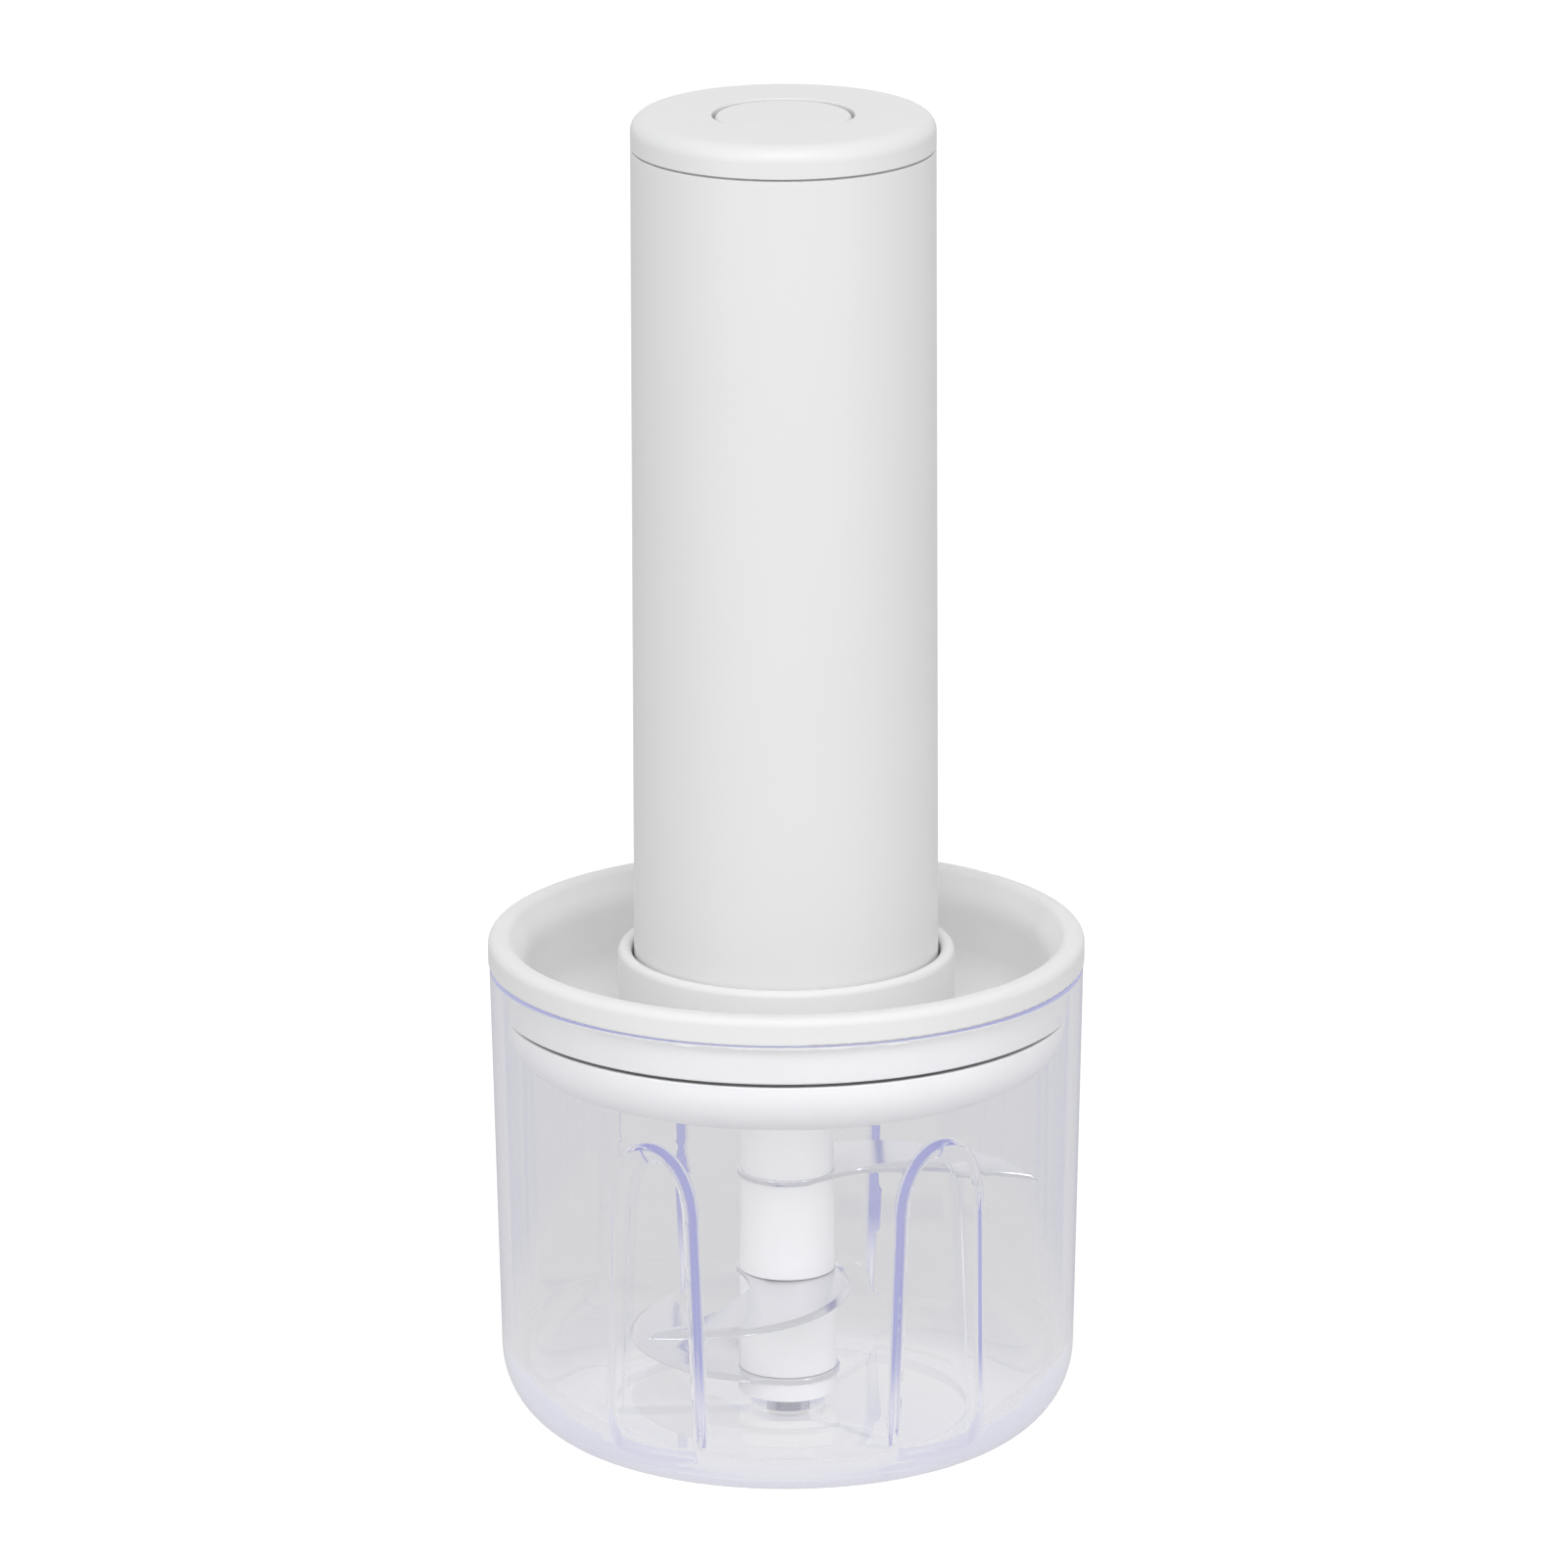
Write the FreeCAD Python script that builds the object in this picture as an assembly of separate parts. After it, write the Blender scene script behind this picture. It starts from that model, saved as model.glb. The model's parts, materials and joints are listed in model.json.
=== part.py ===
import FreeCAD, Part
import math
import os

# Cordless mini food processor: a clear bowl, a press-in lid and a motor handle that stands in the
# lid's collar. Millimetres. The origin is the centre of the bowl's foot, +Z is up, the front is -Y.

V = FreeCAD.Vector
AXIS = V(0, 0, 1)

# ---------------------------------------------------------------- driving dimensions
# Bowl
BOWL_RIM_R = 44.0
BOWL_HEIGHT = 71.7
BOWL_DRAFT_DEG = 1.3
BOWL_WALL = 1.8
BOWL_FLOOR_Z = 3.2
BOWL_CORNER_R = 13.0
BOWL_INNER_CORNER_R = 11.0
BOWL_RIM_ROUND = 0.5
FOOT_RING_WIDTH = 3.0
FOOT_RECESS = 1.6
FOOT_RIB_WIDTH = 2.2
FOOT_RIB_GAP = 0.35
FOOT_RIB_COUNT = 3
FOOT_RIB_START_DEG = 60.0

# Arch-shaped pockets pressed into the bowl's wall
POCKET_ANGLES_DEG = (60.0, 120.0, 240.0, 300.0)
POCKET_HALF_WIDTH = 7.3
POCKET_DEPTH = 3.2
POCKET_TOP_DROP = 2.0
POCKET_ARCH_HEIGHT = 11.3
POCKET_SIDE_SLOPE = 0.9
POCKET_SPREAD_DEG = 2.75
POCKET_WALL = 1.7
POCKET_FLOOR_ROUND = 0.6
POCKET_MOUTH_ROUND = 0.8

# Pivot pin in the bowl's floor
PIN_R = 2.0
PIN_TOP_Z = 22.0
PIN_SEAT_DEPTH = 3.6
PIN_BOSS_R = 5.5
PIN_BOSS_HEIGHT = 1.6

# Blade stack
HUB_TOP_R = 6.75
HUB_FOOT_R = 7.35
HUB_FOOT_Z = 5.2
HUB_CORE_FLATS = 9.0
HUB_SHOULDER_DROP = 1.3
HUB_NECK_R = 6.3
HUB_SOCKET_DEPTH = 11.6
BUSH_WALL = 1.1
BUSH_LENGTH = 14.8
BLADE_THICKNESS = 0.8
BLADE_TIP_INSET = 6.5
BLADE_RING_STEP = 0.5
BLADE_BEVEL_WIDTH = 0.9
BLADE_BEVEL_DEPTH = 0.6
BLADE_BELLY = (20.7, 49.0)
BLADE_BACK = (25.3, 5.3)
BLADE_ROOT = (11.2, 2.6)
BLADE_FILLET_MID = (7.9, -17.0)
BLADE_RING_LEAVE_DEG = 144.0
BLADE_RING_RETURN_DEG = -57.6
BLADES = {"upper_blade": (39.4, -9.8), "middle_blade": (23.8, 235.6), "lower_blade": (8.5, 115.6)}

# Lid
LID_OVERHANG = 0.15
LID_RIM_HEIGHT = 4.4
LID_RIM_WIDTH = 2.9
LID_RIM_ROUND = 1.35
LID_PLUG_GAP = 0.9
LID_PLUG_DEPTH = 15.0
LID_PLUG_CORNER_R = 7.2
LID_WALL = 2.0
LID_GROOVE_WALL = 1.2
LID_RIM_FLARE = 0.4
LID_FLARE_R = 5.0
LID_COLLAR_FOOT_R = 1.5
LID_DISH_CORNER_R = 6.0
LID_COLLAR_WALL = 2.0
LID_COLLAR_HEIGHT = 2.5
LID_COLLAR_ROUND = 0.95
LID_SEAT_HEIGHT = 2.2
LID_SEAT_WIDTH = 3.4
LID_BUSH_WALL = 1.4
LID_BUSH_FLANGE = 1.2
LID_BUSH_FLANGE_THICKNESS = 0.8
LID_BOSS_WALL = 2.0
SEAL_TOP_DROP = 0.5
SEAL_HEIGHT = 5.7
SEAL_GROOVE_DEPTH = 1.4
SEAL_GROOVE_SLACK = 0.5
SEAL_ROUND = 0.4

# Motor handle
HANDLE_TOP_R = 22.25
HANDLE_FOOT_R = 22.55
HANDLE_WALL = 2.0
CAP_HEIGHT = 4.8
CAP_EDGE_R = 2.4
CAP_PLATE = 2.0
CAP_SKIRT = 2.5
CAP_SKIRT_WALL = 1.6
SEAM_WIDTH = 0.25
COVER_THICKNESS = 2.8
LEDGE_THICKNESS = 1.2
LEDGE_WIDTH = 1.8

# Button
BUTTON_R = 10.0
BUTTON_HOLE_GAP = 0.4
BUTTON_SINK = 0.15
BUTTON_FLANGE_R = 11.8
BUTTON_FLANGE = 1.2
BUTTON_EDGE_R = 0.7
BUTTON_STEM_R = 2.5
DOME_BASE_R = 8.6
DOME_TOP_R = 3.6
DOME_WALL = 0.9

# Switch board, switch and charging socket
BOARD_R = 19.3
BOARD_THICKNESS = 1.6
BOARD_TOP_DROP = 6.5
SWITCH_SIDE = 6.0
SWITCH_HEIGHT = 3.5
SWITCH_PLUNGER_R = 1.75
SWITCH_PLUNGER = 1.4
SOCKET_WIDTH = 8.94
SOCKET_HEIGHT = 3.26
SOCKET_LENGTH = 7.3
SOCKET_WALL = 0.3
SOCKET_INSET = 2.0
SOCKET_BACK = 1.0
TONGUE_WIDTH = 6.6
TONGUE_THICKNESS = 0.7
TONGUE_INSET = 0.8
FLAP_WIDTH = 13.0
FLAP_HEIGHT = 6.4
FLAP_DEPTH = 1.1
FLAP_CORNER_R = 2.0
FLAP_TAB = 0.5

# Battery and its cradle
CELL_R = 9.2
CELL_LENGTH = 65.0
CELL_NUB_R = 2.9
CELL_NUB = 0.8
CRADLE_WALL = 1.8
CRADLE_PLATE = 1.8
CRADLE_STANDOFF_R = 1.5
CRADLE_LEG_CIRCLE_R = 11.5
CRADLE_LEG_LENGTH = 7.1
STANDOFF = 1.0
TAB_WIDTH = 4.0
TAB_THICKNESS = 0.3
LEAD_R = 0.75
LEAD_OUTSET = 1.55
LEAD_BEND_R = 3.0
LEAD_START = 0.5
LEAD_RISE = 2.5

# Motor
MOTOR_R = 13.85
MOTOR_LENGTH = 40.0
MOTOR_WALL = 1.2
MOTOR_FRONT = 1.5
MOTOR_NOSE_R = 4.9
MOTOR_NOSE = 2.0
MOUNT_THICKNESS = 2.5
MAGNET_THICKNESS = 2.3
MAGNET_SPAN_DEG = 130.0
MAGNET_LENGTH = 26.0
AIR_GAP = 0.55
ARMATURE_LENGTH = 22.0
POLE_COUNT = 5
WINDING_END = 3.6
WINDING_INSET = 1.1
SLOT_WIDTH = 3.0
SLOT_MOUTH = 1.2
SLOT_ROOT_R = 4.2
SHAFT_R = 1.59
COMMUTATOR_R = 3.4
COMMUTATOR_LENGTH = 4.8
BRUSH_WIDTH = 3.0
BRUSH_END_X = 9.2
TERMINAL_THICKNESS = 0.6
TERMINAL_HEIGHT = 3.5
END_CAP_FLANGE = 2.0
END_CAP_HUB_R = 4.6
END_CAP_HUB = 3.5
MOTOR_BUSH_R = 3.2
MOTOR_BUSH = 3.5
COUPLING_FLATS = 8.0
COUPLING_LENGTH = 10.8
COUPLING_LEAD = 1.2
COUPLING_PLUG = 1.0
HOLDER_GAP = 1.2
SHAFT_SEAL_R = 5.5

# Screws
SCREW_R = 1.25
SCREW_HEAD_R = 2.3
SCREW_HEAD = 1.5
SCREW_SLOT = 0.5
SCREW_SLOT_DEPTH = 0.6
COVER_SCREW_CIRCLE_R = 16.0
COVER_SCREW_COUNT = 3
MOTOR_SCREW_CIRCLE_R = 8.0

# Clearances
BODY_GAP = 0.3
RUNNING_GAP = 0.03
COUPLING_GAP = 0.3
COLLAR_GAP = 0.35
SEAL_GAP = 0.3
FIT_GAP = 0.1
BRUSH_GAP = 0.1
OVERCUT = 1.0
JOIN = 0.2

# ---------------------------------------------------------------- sizes that follow from them
LID_FLANGE_Z = BOWL_HEIGHT + SEAM_WIDTH
LID_CREST_Z = BOWL_HEIGHT + LID_RIM_HEIGHT
LID_UNDER_Z = BOWL_HEIGHT - LID_PLUG_DEPTH
LID_FLOOR_Z = LID_UNDER_Z + LID_WALL
LID_SEAT_Z = LID_FLOOR_Z + LID_SEAT_HEIGHT
LID_RIM_R = BOWL_RIM_R + LID_OVERHANG
LID_PLUG_R = BOWL_RIM_R - BOWL_WALL - LID_PLUG_GAP
POCKET_APEX_Z = LID_UNDER_Z - POCKET_TOP_DROP
LID_COLLAR_R = HANDLE_FOOT_R + COLLAR_GAP
LID_BUSH_BORE_R = HUB_NECK_R + BODY_GAP
LID_BUSH_R = LID_BUSH_BORE_R + LID_BUSH_WALL

HANDLE_FOOT_Z = LID_SEAT_Z + BODY_GAP
COVER_TOP_Z = HANDLE_FOOT_Z + COVER_THICKNESS
MOUNT_Z = COVER_TOP_Z + LEDGE_THICKNESS
MOTOR_Z = MOUNT_Z + MOUNT_THICKNESS
MOTOR_TOP_Z = MOTOR_Z + MOTOR_LENGTH
END_CAP_TOP_Z = MOTOR_TOP_Z + END_CAP_FLANGE
ARMATURE_R = MOTOR_R - MOTOR_WALL - MAGNET_THICKNESS - AIR_GAP
WINDING_R = ARMATURE_R - WINDING_INSET
MAGNET_Z = MOTOR_Z + 5.3
ARMATURE_Z = MAGNET_Z + (MAGNET_LENGTH - ARMATURE_LENGTH) / 2
COMMUTATOR_Z = ARMATURE_Z + ARMATURE_LENGTH + WINDING_END + 0.6
SHAFT_TOP_Z = END_CAP_TOP_Z + END_CAP_HUB - 1.0

HUB_SHOULDER_Z = LID_UNDER_Z - HUB_SHOULDER_DROP
HUB_NECK_TOP_Z = LID_SEAT_Z - BODY_GAP
HUB_SOCKET_Z = HUB_NECK_TOP_Z - HUB_SOCKET_DEPTH
COUPLING_TOP_Z = HANDLE_FOOT_Z - BODY_GAP
COUPLING_Z = COUPLING_TOP_Z - COUPLING_LENGTH
SHAFT_FOOT_Z = COUPLING_Z + COUPLING_PLUG
BUSH_R = PIN_R + RUNNING_GAP + BUSH_WALL
BLADE_TIP_R = BOWL_RIM_R - BLADE_TIP_INSET

CRADLE_Z = END_CAP_TOP_Z + CRADLE_LEG_LENGTH
CELL_Z = CRADLE_Z + CRADLE_PLATE + TAB_THICKNESS
CELL_TOP_Z = CELL_Z + CELL_LENGTH
CRADLE_TOP_Z = CELL_TOP_Z + BODY_GAP + CRADLE_PLATE
LEAD_CIRCLE_R = CELL_R + BODY_GAP + CRADLE_WALL + LEAD_R + LEAD_OUTSET
BOARD_Z = CRADLE_TOP_Z + STANDOFF
BOARD_TOP_Z = BOARD_Z + BOARD_THICKNESS
SOCKET_Z = BOARD_TOP_Z + SOCKET_HEIGHT / 2
SWITCH_TOP_Z = BOARD_TOP_Z + SWITCH_HEIGHT
PLUNGER_TOP_Z = SWITCH_TOP_Z + SWITCH_PLUNGER
DOME_TOP_Z = PLUNGER_TOP_Z + DOME_WALL + BODY_GAP

CAP_SEAM_Z = BOARD_TOP_Z + BOARD_TOP_DROP
CAP_TOP_Z = CAP_SEAM_Z + CAP_HEIGHT
SHELL_TOP_Z = CAP_SEAM_Z - SEAM_WIDTH
BUTTON_TOP_Z = CAP_TOP_Z - BUTTON_SINK
BUTTON_FLANGE_TOP_Z = CAP_TOP_Z - CAP_PLATE - BODY_GAP


# ---------------------------------------------------------------- shared shapes
def rounded_wire(corners):
    """Closed wire in the XZ plane through (x, z) or (x, z, radius) corners."""
    points = [V(corner[0], 0, corner[1]) for corner in corners]
    radii = [corner[2] if len(corner) > 2 else 0 for corner in corners]
    count = len(points)
    turns = []
    for i in range(count):
        here = points[i]
        if radii[i] == 0:
            turns.append((here, None, here))
            continue
        to_before = (points[i - 1] - here).normalize()
        to_after = (points[(i + 1) % count] - here).normalize()
        half = to_before.getAngle(to_after) / 2
        middle = (to_before + to_after).normalize()
        reach = radii[i] / math.tan(half)
        centre = here + middle * (radii[i] / math.sin(half))
        turns.append((here + to_before * reach, centre - middle * radii[i], here + to_after * reach))
    edges = []
    for i in range(count):
        start, bend, end = turns[i]
        following = turns[(i + 1) % count][0]
        if bend is not None:
            edges.append(Part.Arc(start, bend, end).toShape())
        if end.distanceToPoint(following) > 1e-6:
            edges.append(Part.makeLine(end, following))
    return Part.Wire(edges)


def turned(corners):
    """Solid of revolution about the Z axis from an outline of (r, z, radius) corners."""
    return Part.Face(rounded_wire(corners)).revolve(V(0, 0, 0), AXIS, 360)


def disc(radius, low, high, x=0, y=0):
    """Upright cylinder between two heights."""
    return Part.makeCylinder(radius, high - low, V(x, y, low))


def tube(outer, inner, low, high):
    """Upright tube between two heights."""
    return disc(outer, low, high).cut(disc(inner, low - OVERCUT, high + OVERCUT))


def block(x0, x1, y0, y1, z0, z1):
    """Box between two opposite corners."""
    return Part.makeBox(x1 - x0, y1 - y0, z1 - z0, V(x0, y0, z0))


def swung(shape, degrees):
    """Copy of a shape turned about the Z axis."""
    copy = shape.copy()
    copy.rotate(V(0, 0, 0), AXIS, degrees)
    return copy


def ring_of(shape, count, start=0.0):
    """Copies of a shape spaced evenly about the Z axis."""
    return [swung(shape, start + 360.0 * i / count) for i in range(count)]


def hexagon(flats, low, high):
    """Upright hexagonal prism with two corners on the X axis."""
    corner_r = flats / math.sqrt(3)
    corners = [V(corner_r * math.cos(math.radians(60 * i)), corner_r * math.sin(math.radians(60 * i)), low)
               for i in range(7)]
    return Part.Face(Part.makePolygon(corners)).extrude(V(0, 0, high - low))


def polar(radius, degrees, z=0.0):
    """Point at a radius and an angle from +X."""
    return V(radius * math.cos(math.radians(degrees)), radius * math.sin(math.radians(degrees)), z)


# ---------------------------------------------------------------- bowl
def bowl_radius(z):
    """Outer radius of the bowl's drafted wall at a height."""
    return BOWL_RIM_R - (BOWL_HEIGHT - z) * math.tan(math.radians(BOWL_DRAFT_DEG))


def arch_wire(x, half_width, apex_z):
    """Arch outline in a plane across the X axis, spreading as it runs down past the foot."""
    spring_z = POCKET_APEX_Z - POCKET_ARCH_HEIGHT
    foot_z = -BOWL_CORNER_R
    foot_half_width = half_width + (spring_z - foot_z) * math.tan(math.radians(POCKET_SPREAD_DEG))
    left = V(x, -half_width, spring_z)
    right = V(x, half_width, spring_z)
    arch = Part.Ellipse(V(x, 0, apex_z), right, V(x, 0, spring_z)).toShape(-math.pi / 2, math.pi / 2)
    low_left = V(x, -foot_half_width, foot_z)
    low_right = V(x, foot_half_width, foot_z)
    return Part.Wire([arch, Part.makeLine(right, low_right), Part.makeLine(low_right, low_left),
                      Part.makeLine(low_left, left)])


def arch_prism(floor_x, grow):
    """Arch pocket that widens outwards, its flat end at floor_x, made wider all round by grow."""
    mouth_x = bowl_radius(POCKET_APEX_Z)
    far_x = BOWL_RIM_R + POCKET_DEPTH
    sections = []
    for x in (floor_x, far_x):
        change = grow + (x - mouth_x) * POCKET_SIDE_SLOPE
        sections.append(arch_wire(x, POCKET_HALF_WIDTH + change, POCKET_APEX_Z + change))
    prism = Part.makeLoft(sections, True, True)
    end_edges = [edge for edge in prism.Edges
                 if abs(edge.BoundBox.XMin - floor_x) < 1e-4 and abs(edge.BoundBox.XMax - floor_x) < 1e-4
                 and edge.BoundBox.ZMax > 0]
    return prism.makeFillet(POCKET_FLOOR_ROUND, end_edges)


def pocket_edges(solid):
    """Edges where the pockets' sides meet the turned wall of the bowl or of its cavity."""
    edges = []
    for edge in solid.Edges:
        faces = solid.ancestorsOfType(edge, Part.Face)
        on_wall = [face.Surface.TypeId in ("Part::GeomCone", "Part::GeomToroid") for face in faces]
        off_axis = math.hypot(edge.CenterOfMass.x, edge.CenterOfMass.y) > BOWL_RIM_R / 2
        if sorted(on_wall) == [False, True] and off_axis and edge.BoundBox.ZMax > FOOT_RECESS:
            edges.append(edge)
    return edges


def make_bowl():
    """Clear bowl: drafted wall, four arch pockets, ribbed foot and a boss for the pivot pin."""
    base_r = bowl_radius(0)
    foot_outer_r = base_r - BOWL_CORNER_R
    foot_inner_r = foot_outer_r - FOOT_RING_WIDTH
    blank = turned([(0, FOOT_RECESS), (foot_inner_r, FOOT_RECESS), (foot_inner_r, 0, 0.3),
                    (base_r, 0, BOWL_CORNER_R), (BOWL_RIM_R, BOWL_HEIGHT, BOWL_RIM_ROUND), (0, BOWL_HEIGHT)])
    lead_z = BOWL_HEIGHT - BOWL_RIM_ROUND
    cavity = turned([(0, BOWL_FLOOR_Z),
                     (bowl_radius(BOWL_FLOOR_Z) - BOWL_WALL, BOWL_FLOOR_Z, BOWL_INNER_CORNER_R),
                     (bowl_radius(lead_z) - BOWL_WALL, lead_z),
                     (BOWL_RIM_R - BOWL_WALL + BOWL_RIM_ROUND + OVERCUT, BOWL_HEIGHT + OVERCUT),
                     (0, BOWL_HEIGHT + OVERCUT)])
    floor_x = bowl_radius(POCKET_APEX_Z) - POCKET_DEPTH
    pocket = arch_prism(floor_x, 0)
    bulge = arch_prism(floor_x - POCKET_WALL, POCKET_WALL * math.hypot(1, POCKET_SIDE_SLOPE))
    cavity = cavity.cut([swung(bulge, angle) for angle in POCKET_ANGLES_DEG])
    cavity = cavity.makeFillet(POCKET_MOUTH_ROUND, pocket_edges(cavity))
    outside = blank.cut([swung(pocket, angle) for angle in POCKET_ANGLES_DEG])
    bowl = outside.makeFillet(POCKET_MOUTH_ROUND, pocket_edges(outside)).cut(cavity)
    rib = block(PIN_BOSS_R, foot_inner_r + 0.2, -FOOT_RIB_WIDTH / 2, FOOT_RIB_WIDTH / 2,
                FOOT_RIB_GAP, FOOT_RECESS + 0.2)
    under_boss = disc(PIN_BOSS_R + 0.2, FOOT_RIB_GAP, FOOT_RECESS + 0.2)
    boss = disc(PIN_BOSS_R, BOWL_FLOOR_Z - 0.2, BOWL_FLOOR_Z + PIN_BOSS_HEIGHT)
    bowl = bowl.fuse(ring_of(rib, FOOT_RIB_COUNT, FOOT_RIB_START_DEG) + [under_boss, boss])
    seat_z = BOWL_FLOOR_Z + PIN_BOSS_HEIGHT - PIN_SEAT_DEPTH
    return bowl.cut(disc(PIN_R, seat_z, BOWL_HEIGHT)).removeSplitter()


def make_pivot_pin():
    """Steel pin with a rounded top, pressed into the bowl's boss."""
    seat_z = BOWL_FLOOR_Z + PIN_BOSS_HEIGHT - PIN_SEAT_DEPTH
    return turned([(0, seat_z), (PIN_R, seat_z), (PIN_R, PIN_TOP_Z, PIN_R * 0.5), (0, PIN_TOP_Z)])


# ---------------------------------------------------------------- blade stack
def hub_radius(z):
    """Outer radius of the tapered hub at a height."""
    return HUB_FOOT_R + (HUB_TOP_R - HUB_FOOT_R) * (z - HUB_FOOT_Z) / (HUB_SHOULDER_Z - HUB_FOOT_Z)


def blade_levels(name):
    """Underside and top of a blade."""
    middle = BLADES[name][0]
    return middle - BLADE_THICKNESS / 2, middle + BLADE_THICKNESS / 2


def make_hub_core():
    """Drive head of the blade stack, with a hexagonal stem through the blades below it."""
    low = blade_levels("upper_blade")[1]
    head = turned([(0, low), (hub_radius(low), low), (HUB_TOP_R, HUB_SHOULDER_Z, 0.4),
                   (HUB_NECK_R, HUB_SHOULDER_Z), (HUB_NECK_R, HUB_NECK_TOP_Z, 0.4), (0, HUB_NECK_TOP_Z)])
    stem = hexagon(HUB_CORE_FLATS, HUB_FOOT_Z, low + OVERCUT)
    socket = hexagon(COUPLING_FLATS + 2 * COUPLING_GAP, HUB_SOCKET_Z, HUB_NECK_TOP_Z + OVERCUT)
    bush_room = disc(BUSH_R, HUB_FOOT_Z - OVERCUT, HUB_FOOT_Z + BUSH_LENGTH)
    pin_room = disc(PIN_R + BODY_GAP, HUB_FOOT_Z, PIN_TOP_Z + OVERCUT)
    return head.fuse(stem).cut([socket, bush_room, pin_room])


def make_hub_ring(low, high):
    """One tapered ring of the hub, keyed on the hexagonal stem."""
    ring = turned([(0, low), (hub_radius(low), low, 0.25), (hub_radius(high), high, 0.25), (0, high)])
    return ring.cut(hexagon(HUB_CORE_FLATS, low - OVERCUT, high + OVERCUT))


def make_hub_bush():
    """Bearing bush in the hub, running on the pivot pin."""
    return tube(BUSH_R, PIN_R + RUNNING_GAP, HUB_FOOT_Z, HUB_FOOT_Z + BUSH_LENGTH)


def make_blade(name):
    """Sickle blade stamped from sheet: a ring round the hub, a curved ground edge and a straight back."""
    low, high = blade_levels(name)
    ring_r = hub_radius(low) + BLADE_RING_STEP
    leave = polar(ring_r, BLADE_RING_LEAVE_DEG, low)
    tip = polar(BLADE_TIP_R, 0, low)
    root = polar(*BLADE_ROOT, low)
    back_to_ring = polar(ring_r, BLADE_RING_RETURN_DEG, low)
    far_side = polar(ring_r, (BLADE_RING_LEAVE_DEG + BLADE_RING_RETURN_DEG) / 2 + 180, low)
    edge_arc = Part.Arc(leave, polar(*BLADE_BELLY, low), tip).toShape()
    outline = Part.Wire([edge_arc, Part.Arc(tip, polar(*BLADE_BACK, low), root).toShape(),
                         Part.Arc(root, polar(*BLADE_FILLET_MID, low), back_to_ring).toShape(),
                         Part.Arc(back_to_ring, far_side, leave).toShape()])
    blade = Part.Face(outline).extrude(V(0, 0, BLADE_THICKNESS))
    edge_r = edge_arc.Curve.Radius
    inner_r = edge_r - BLADE_BEVEL_WIDTH
    outer_r = edge_r + OVERCUT
    edge_z = high - BLADE_BEVEL_DEPTH
    grinding = turned([(inner_r, high), (edge_r, edge_z), (outer_r, edge_z), (outer_r, high + OVERCUT),
                       (inner_r, high + OVERCUT)])
    grinding.translate(V(edge_arc.Curve.Center.x, edge_arc.Curve.Center.y, 0))
    grinding = grinding.cut(disc(ring_r + OVERCUT, low - OVERCUT, high + 2 * OVERCUT))
    blade = swung(blade.cut(grinding), BLADES[name][1])
    return blade.cut(hexagon(HUB_CORE_FLATS, low - OVERCUT, high + OVERCUT))


# ---------------------------------------------------------------- lid
def make_lid():
    """Deep dish lid with a rolled rim, a seal groove, a collar for the handle and a bush boss."""
    groove_r = LID_PLUG_R - SEAL_GROOVE_DEPTH
    groove_z = BOWL_HEIGHT - SEAL_TOP_DROP - SEAL_HEIGHT - SEAL_GROOVE_SLACK
    dish_top_r = LID_RIM_R - LID_RIM_WIDTH
    dish_r = groove_r - LID_GROOVE_WALL
    flare_z = LID_FLANGE_Z + LID_RIM_FLARE
    collar_outer_r = LID_COLLAR_R + LID_COLLAR_WALL
    collar_top_z = BOWL_HEIGHT + LID_COLLAR_HEIGHT
    seat_inner_r = LID_COLLAR_R - LID_SEAT_WIDTH
    boss_r = LID_BUSH_R + LID_BOSS_WALL
    return turned([
        (LID_BUSH_R, LID_UNDER_Z), (LID_PLUG_R, LID_UNDER_Z, LID_PLUG_CORNER_R), (LID_PLUG_R, groove_z, 0.2),
        (groove_r, groove_z), (groove_r, LID_FLANGE_Z), (LID_RIM_R, LID_FLANGE_Z, 0.3),
        (LID_RIM_R, LID_CREST_Z, LID_RIM_ROUND), (dish_top_r, LID_CREST_Z, LID_RIM_ROUND),
        (dish_r, flare_z, LID_FLARE_R), (dish_r, LID_FLOOR_Z, LID_DISH_CORNER_R),
        (collar_outer_r, LID_FLOOR_Z, LID_COLLAR_FOOT_R),
        (collar_outer_r, collar_top_z, LID_COLLAR_ROUND), (LID_COLLAR_R, collar_top_z, LID_COLLAR_ROUND),
        (LID_COLLAR_R, LID_SEAT_Z), (seat_inner_r, LID_SEAT_Z), (seat_inner_r, LID_FLOOR_Z),
        (boss_r, LID_FLOOR_Z), (boss_r, LID_SEAT_Z), (LID_BUSH_R, LID_SEAT_Z)])


def make_lid_seal():
    """Soft ring in the lid's groove."""
    inner_r = LID_PLUG_R - SEAL_GROOVE_DEPTH
    top_z = BOWL_HEIGHT - SEAL_TOP_DROP
    low_z = top_z - SEAL_HEIGHT
    outer_r = bowl_radius(low_z) - BOWL_WALL - SEAL_GAP
    return turned([(inner_r, low_z), (outer_r, low_z, SEAL_ROUND), (outer_r, top_z, SEAL_ROUND),
                   (inner_r, top_z)])


def make_lid_bush():
    """Flanged plastic bush in the lid that steadies the hub's neck."""
    flange_r = LID_BUSH_R + LID_BUSH_FLANGE
    flange_z = LID_UNDER_Z - LID_BUSH_FLANGE_THICKNESS
    return turned([(LID_BUSH_BORE_R, flange_z), (flange_r, flange_z, 0.3), (flange_r, LID_UNDER_Z),
                   (LID_BUSH_R, LID_UNDER_Z), (LID_BUSH_R, LID_SEAT_Z), (LID_BUSH_BORE_R, LID_SEAT_Z)])


# ---------------------------------------------------------------- handle casing
def handle_radius(z):
    """Outer radius of the slightly tapered handle at a height."""
    return HANDLE_FOOT_R + (HANDLE_TOP_R - HANDLE_FOOT_R) * (z - HANDLE_FOOT_Z) / (CAP_SEAM_Z - HANDLE_FOOT_Z)


def bore_radius(z):
    """Inner radius of the handle at a height."""
    return handle_radius(z) - HANDLE_WALL


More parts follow.
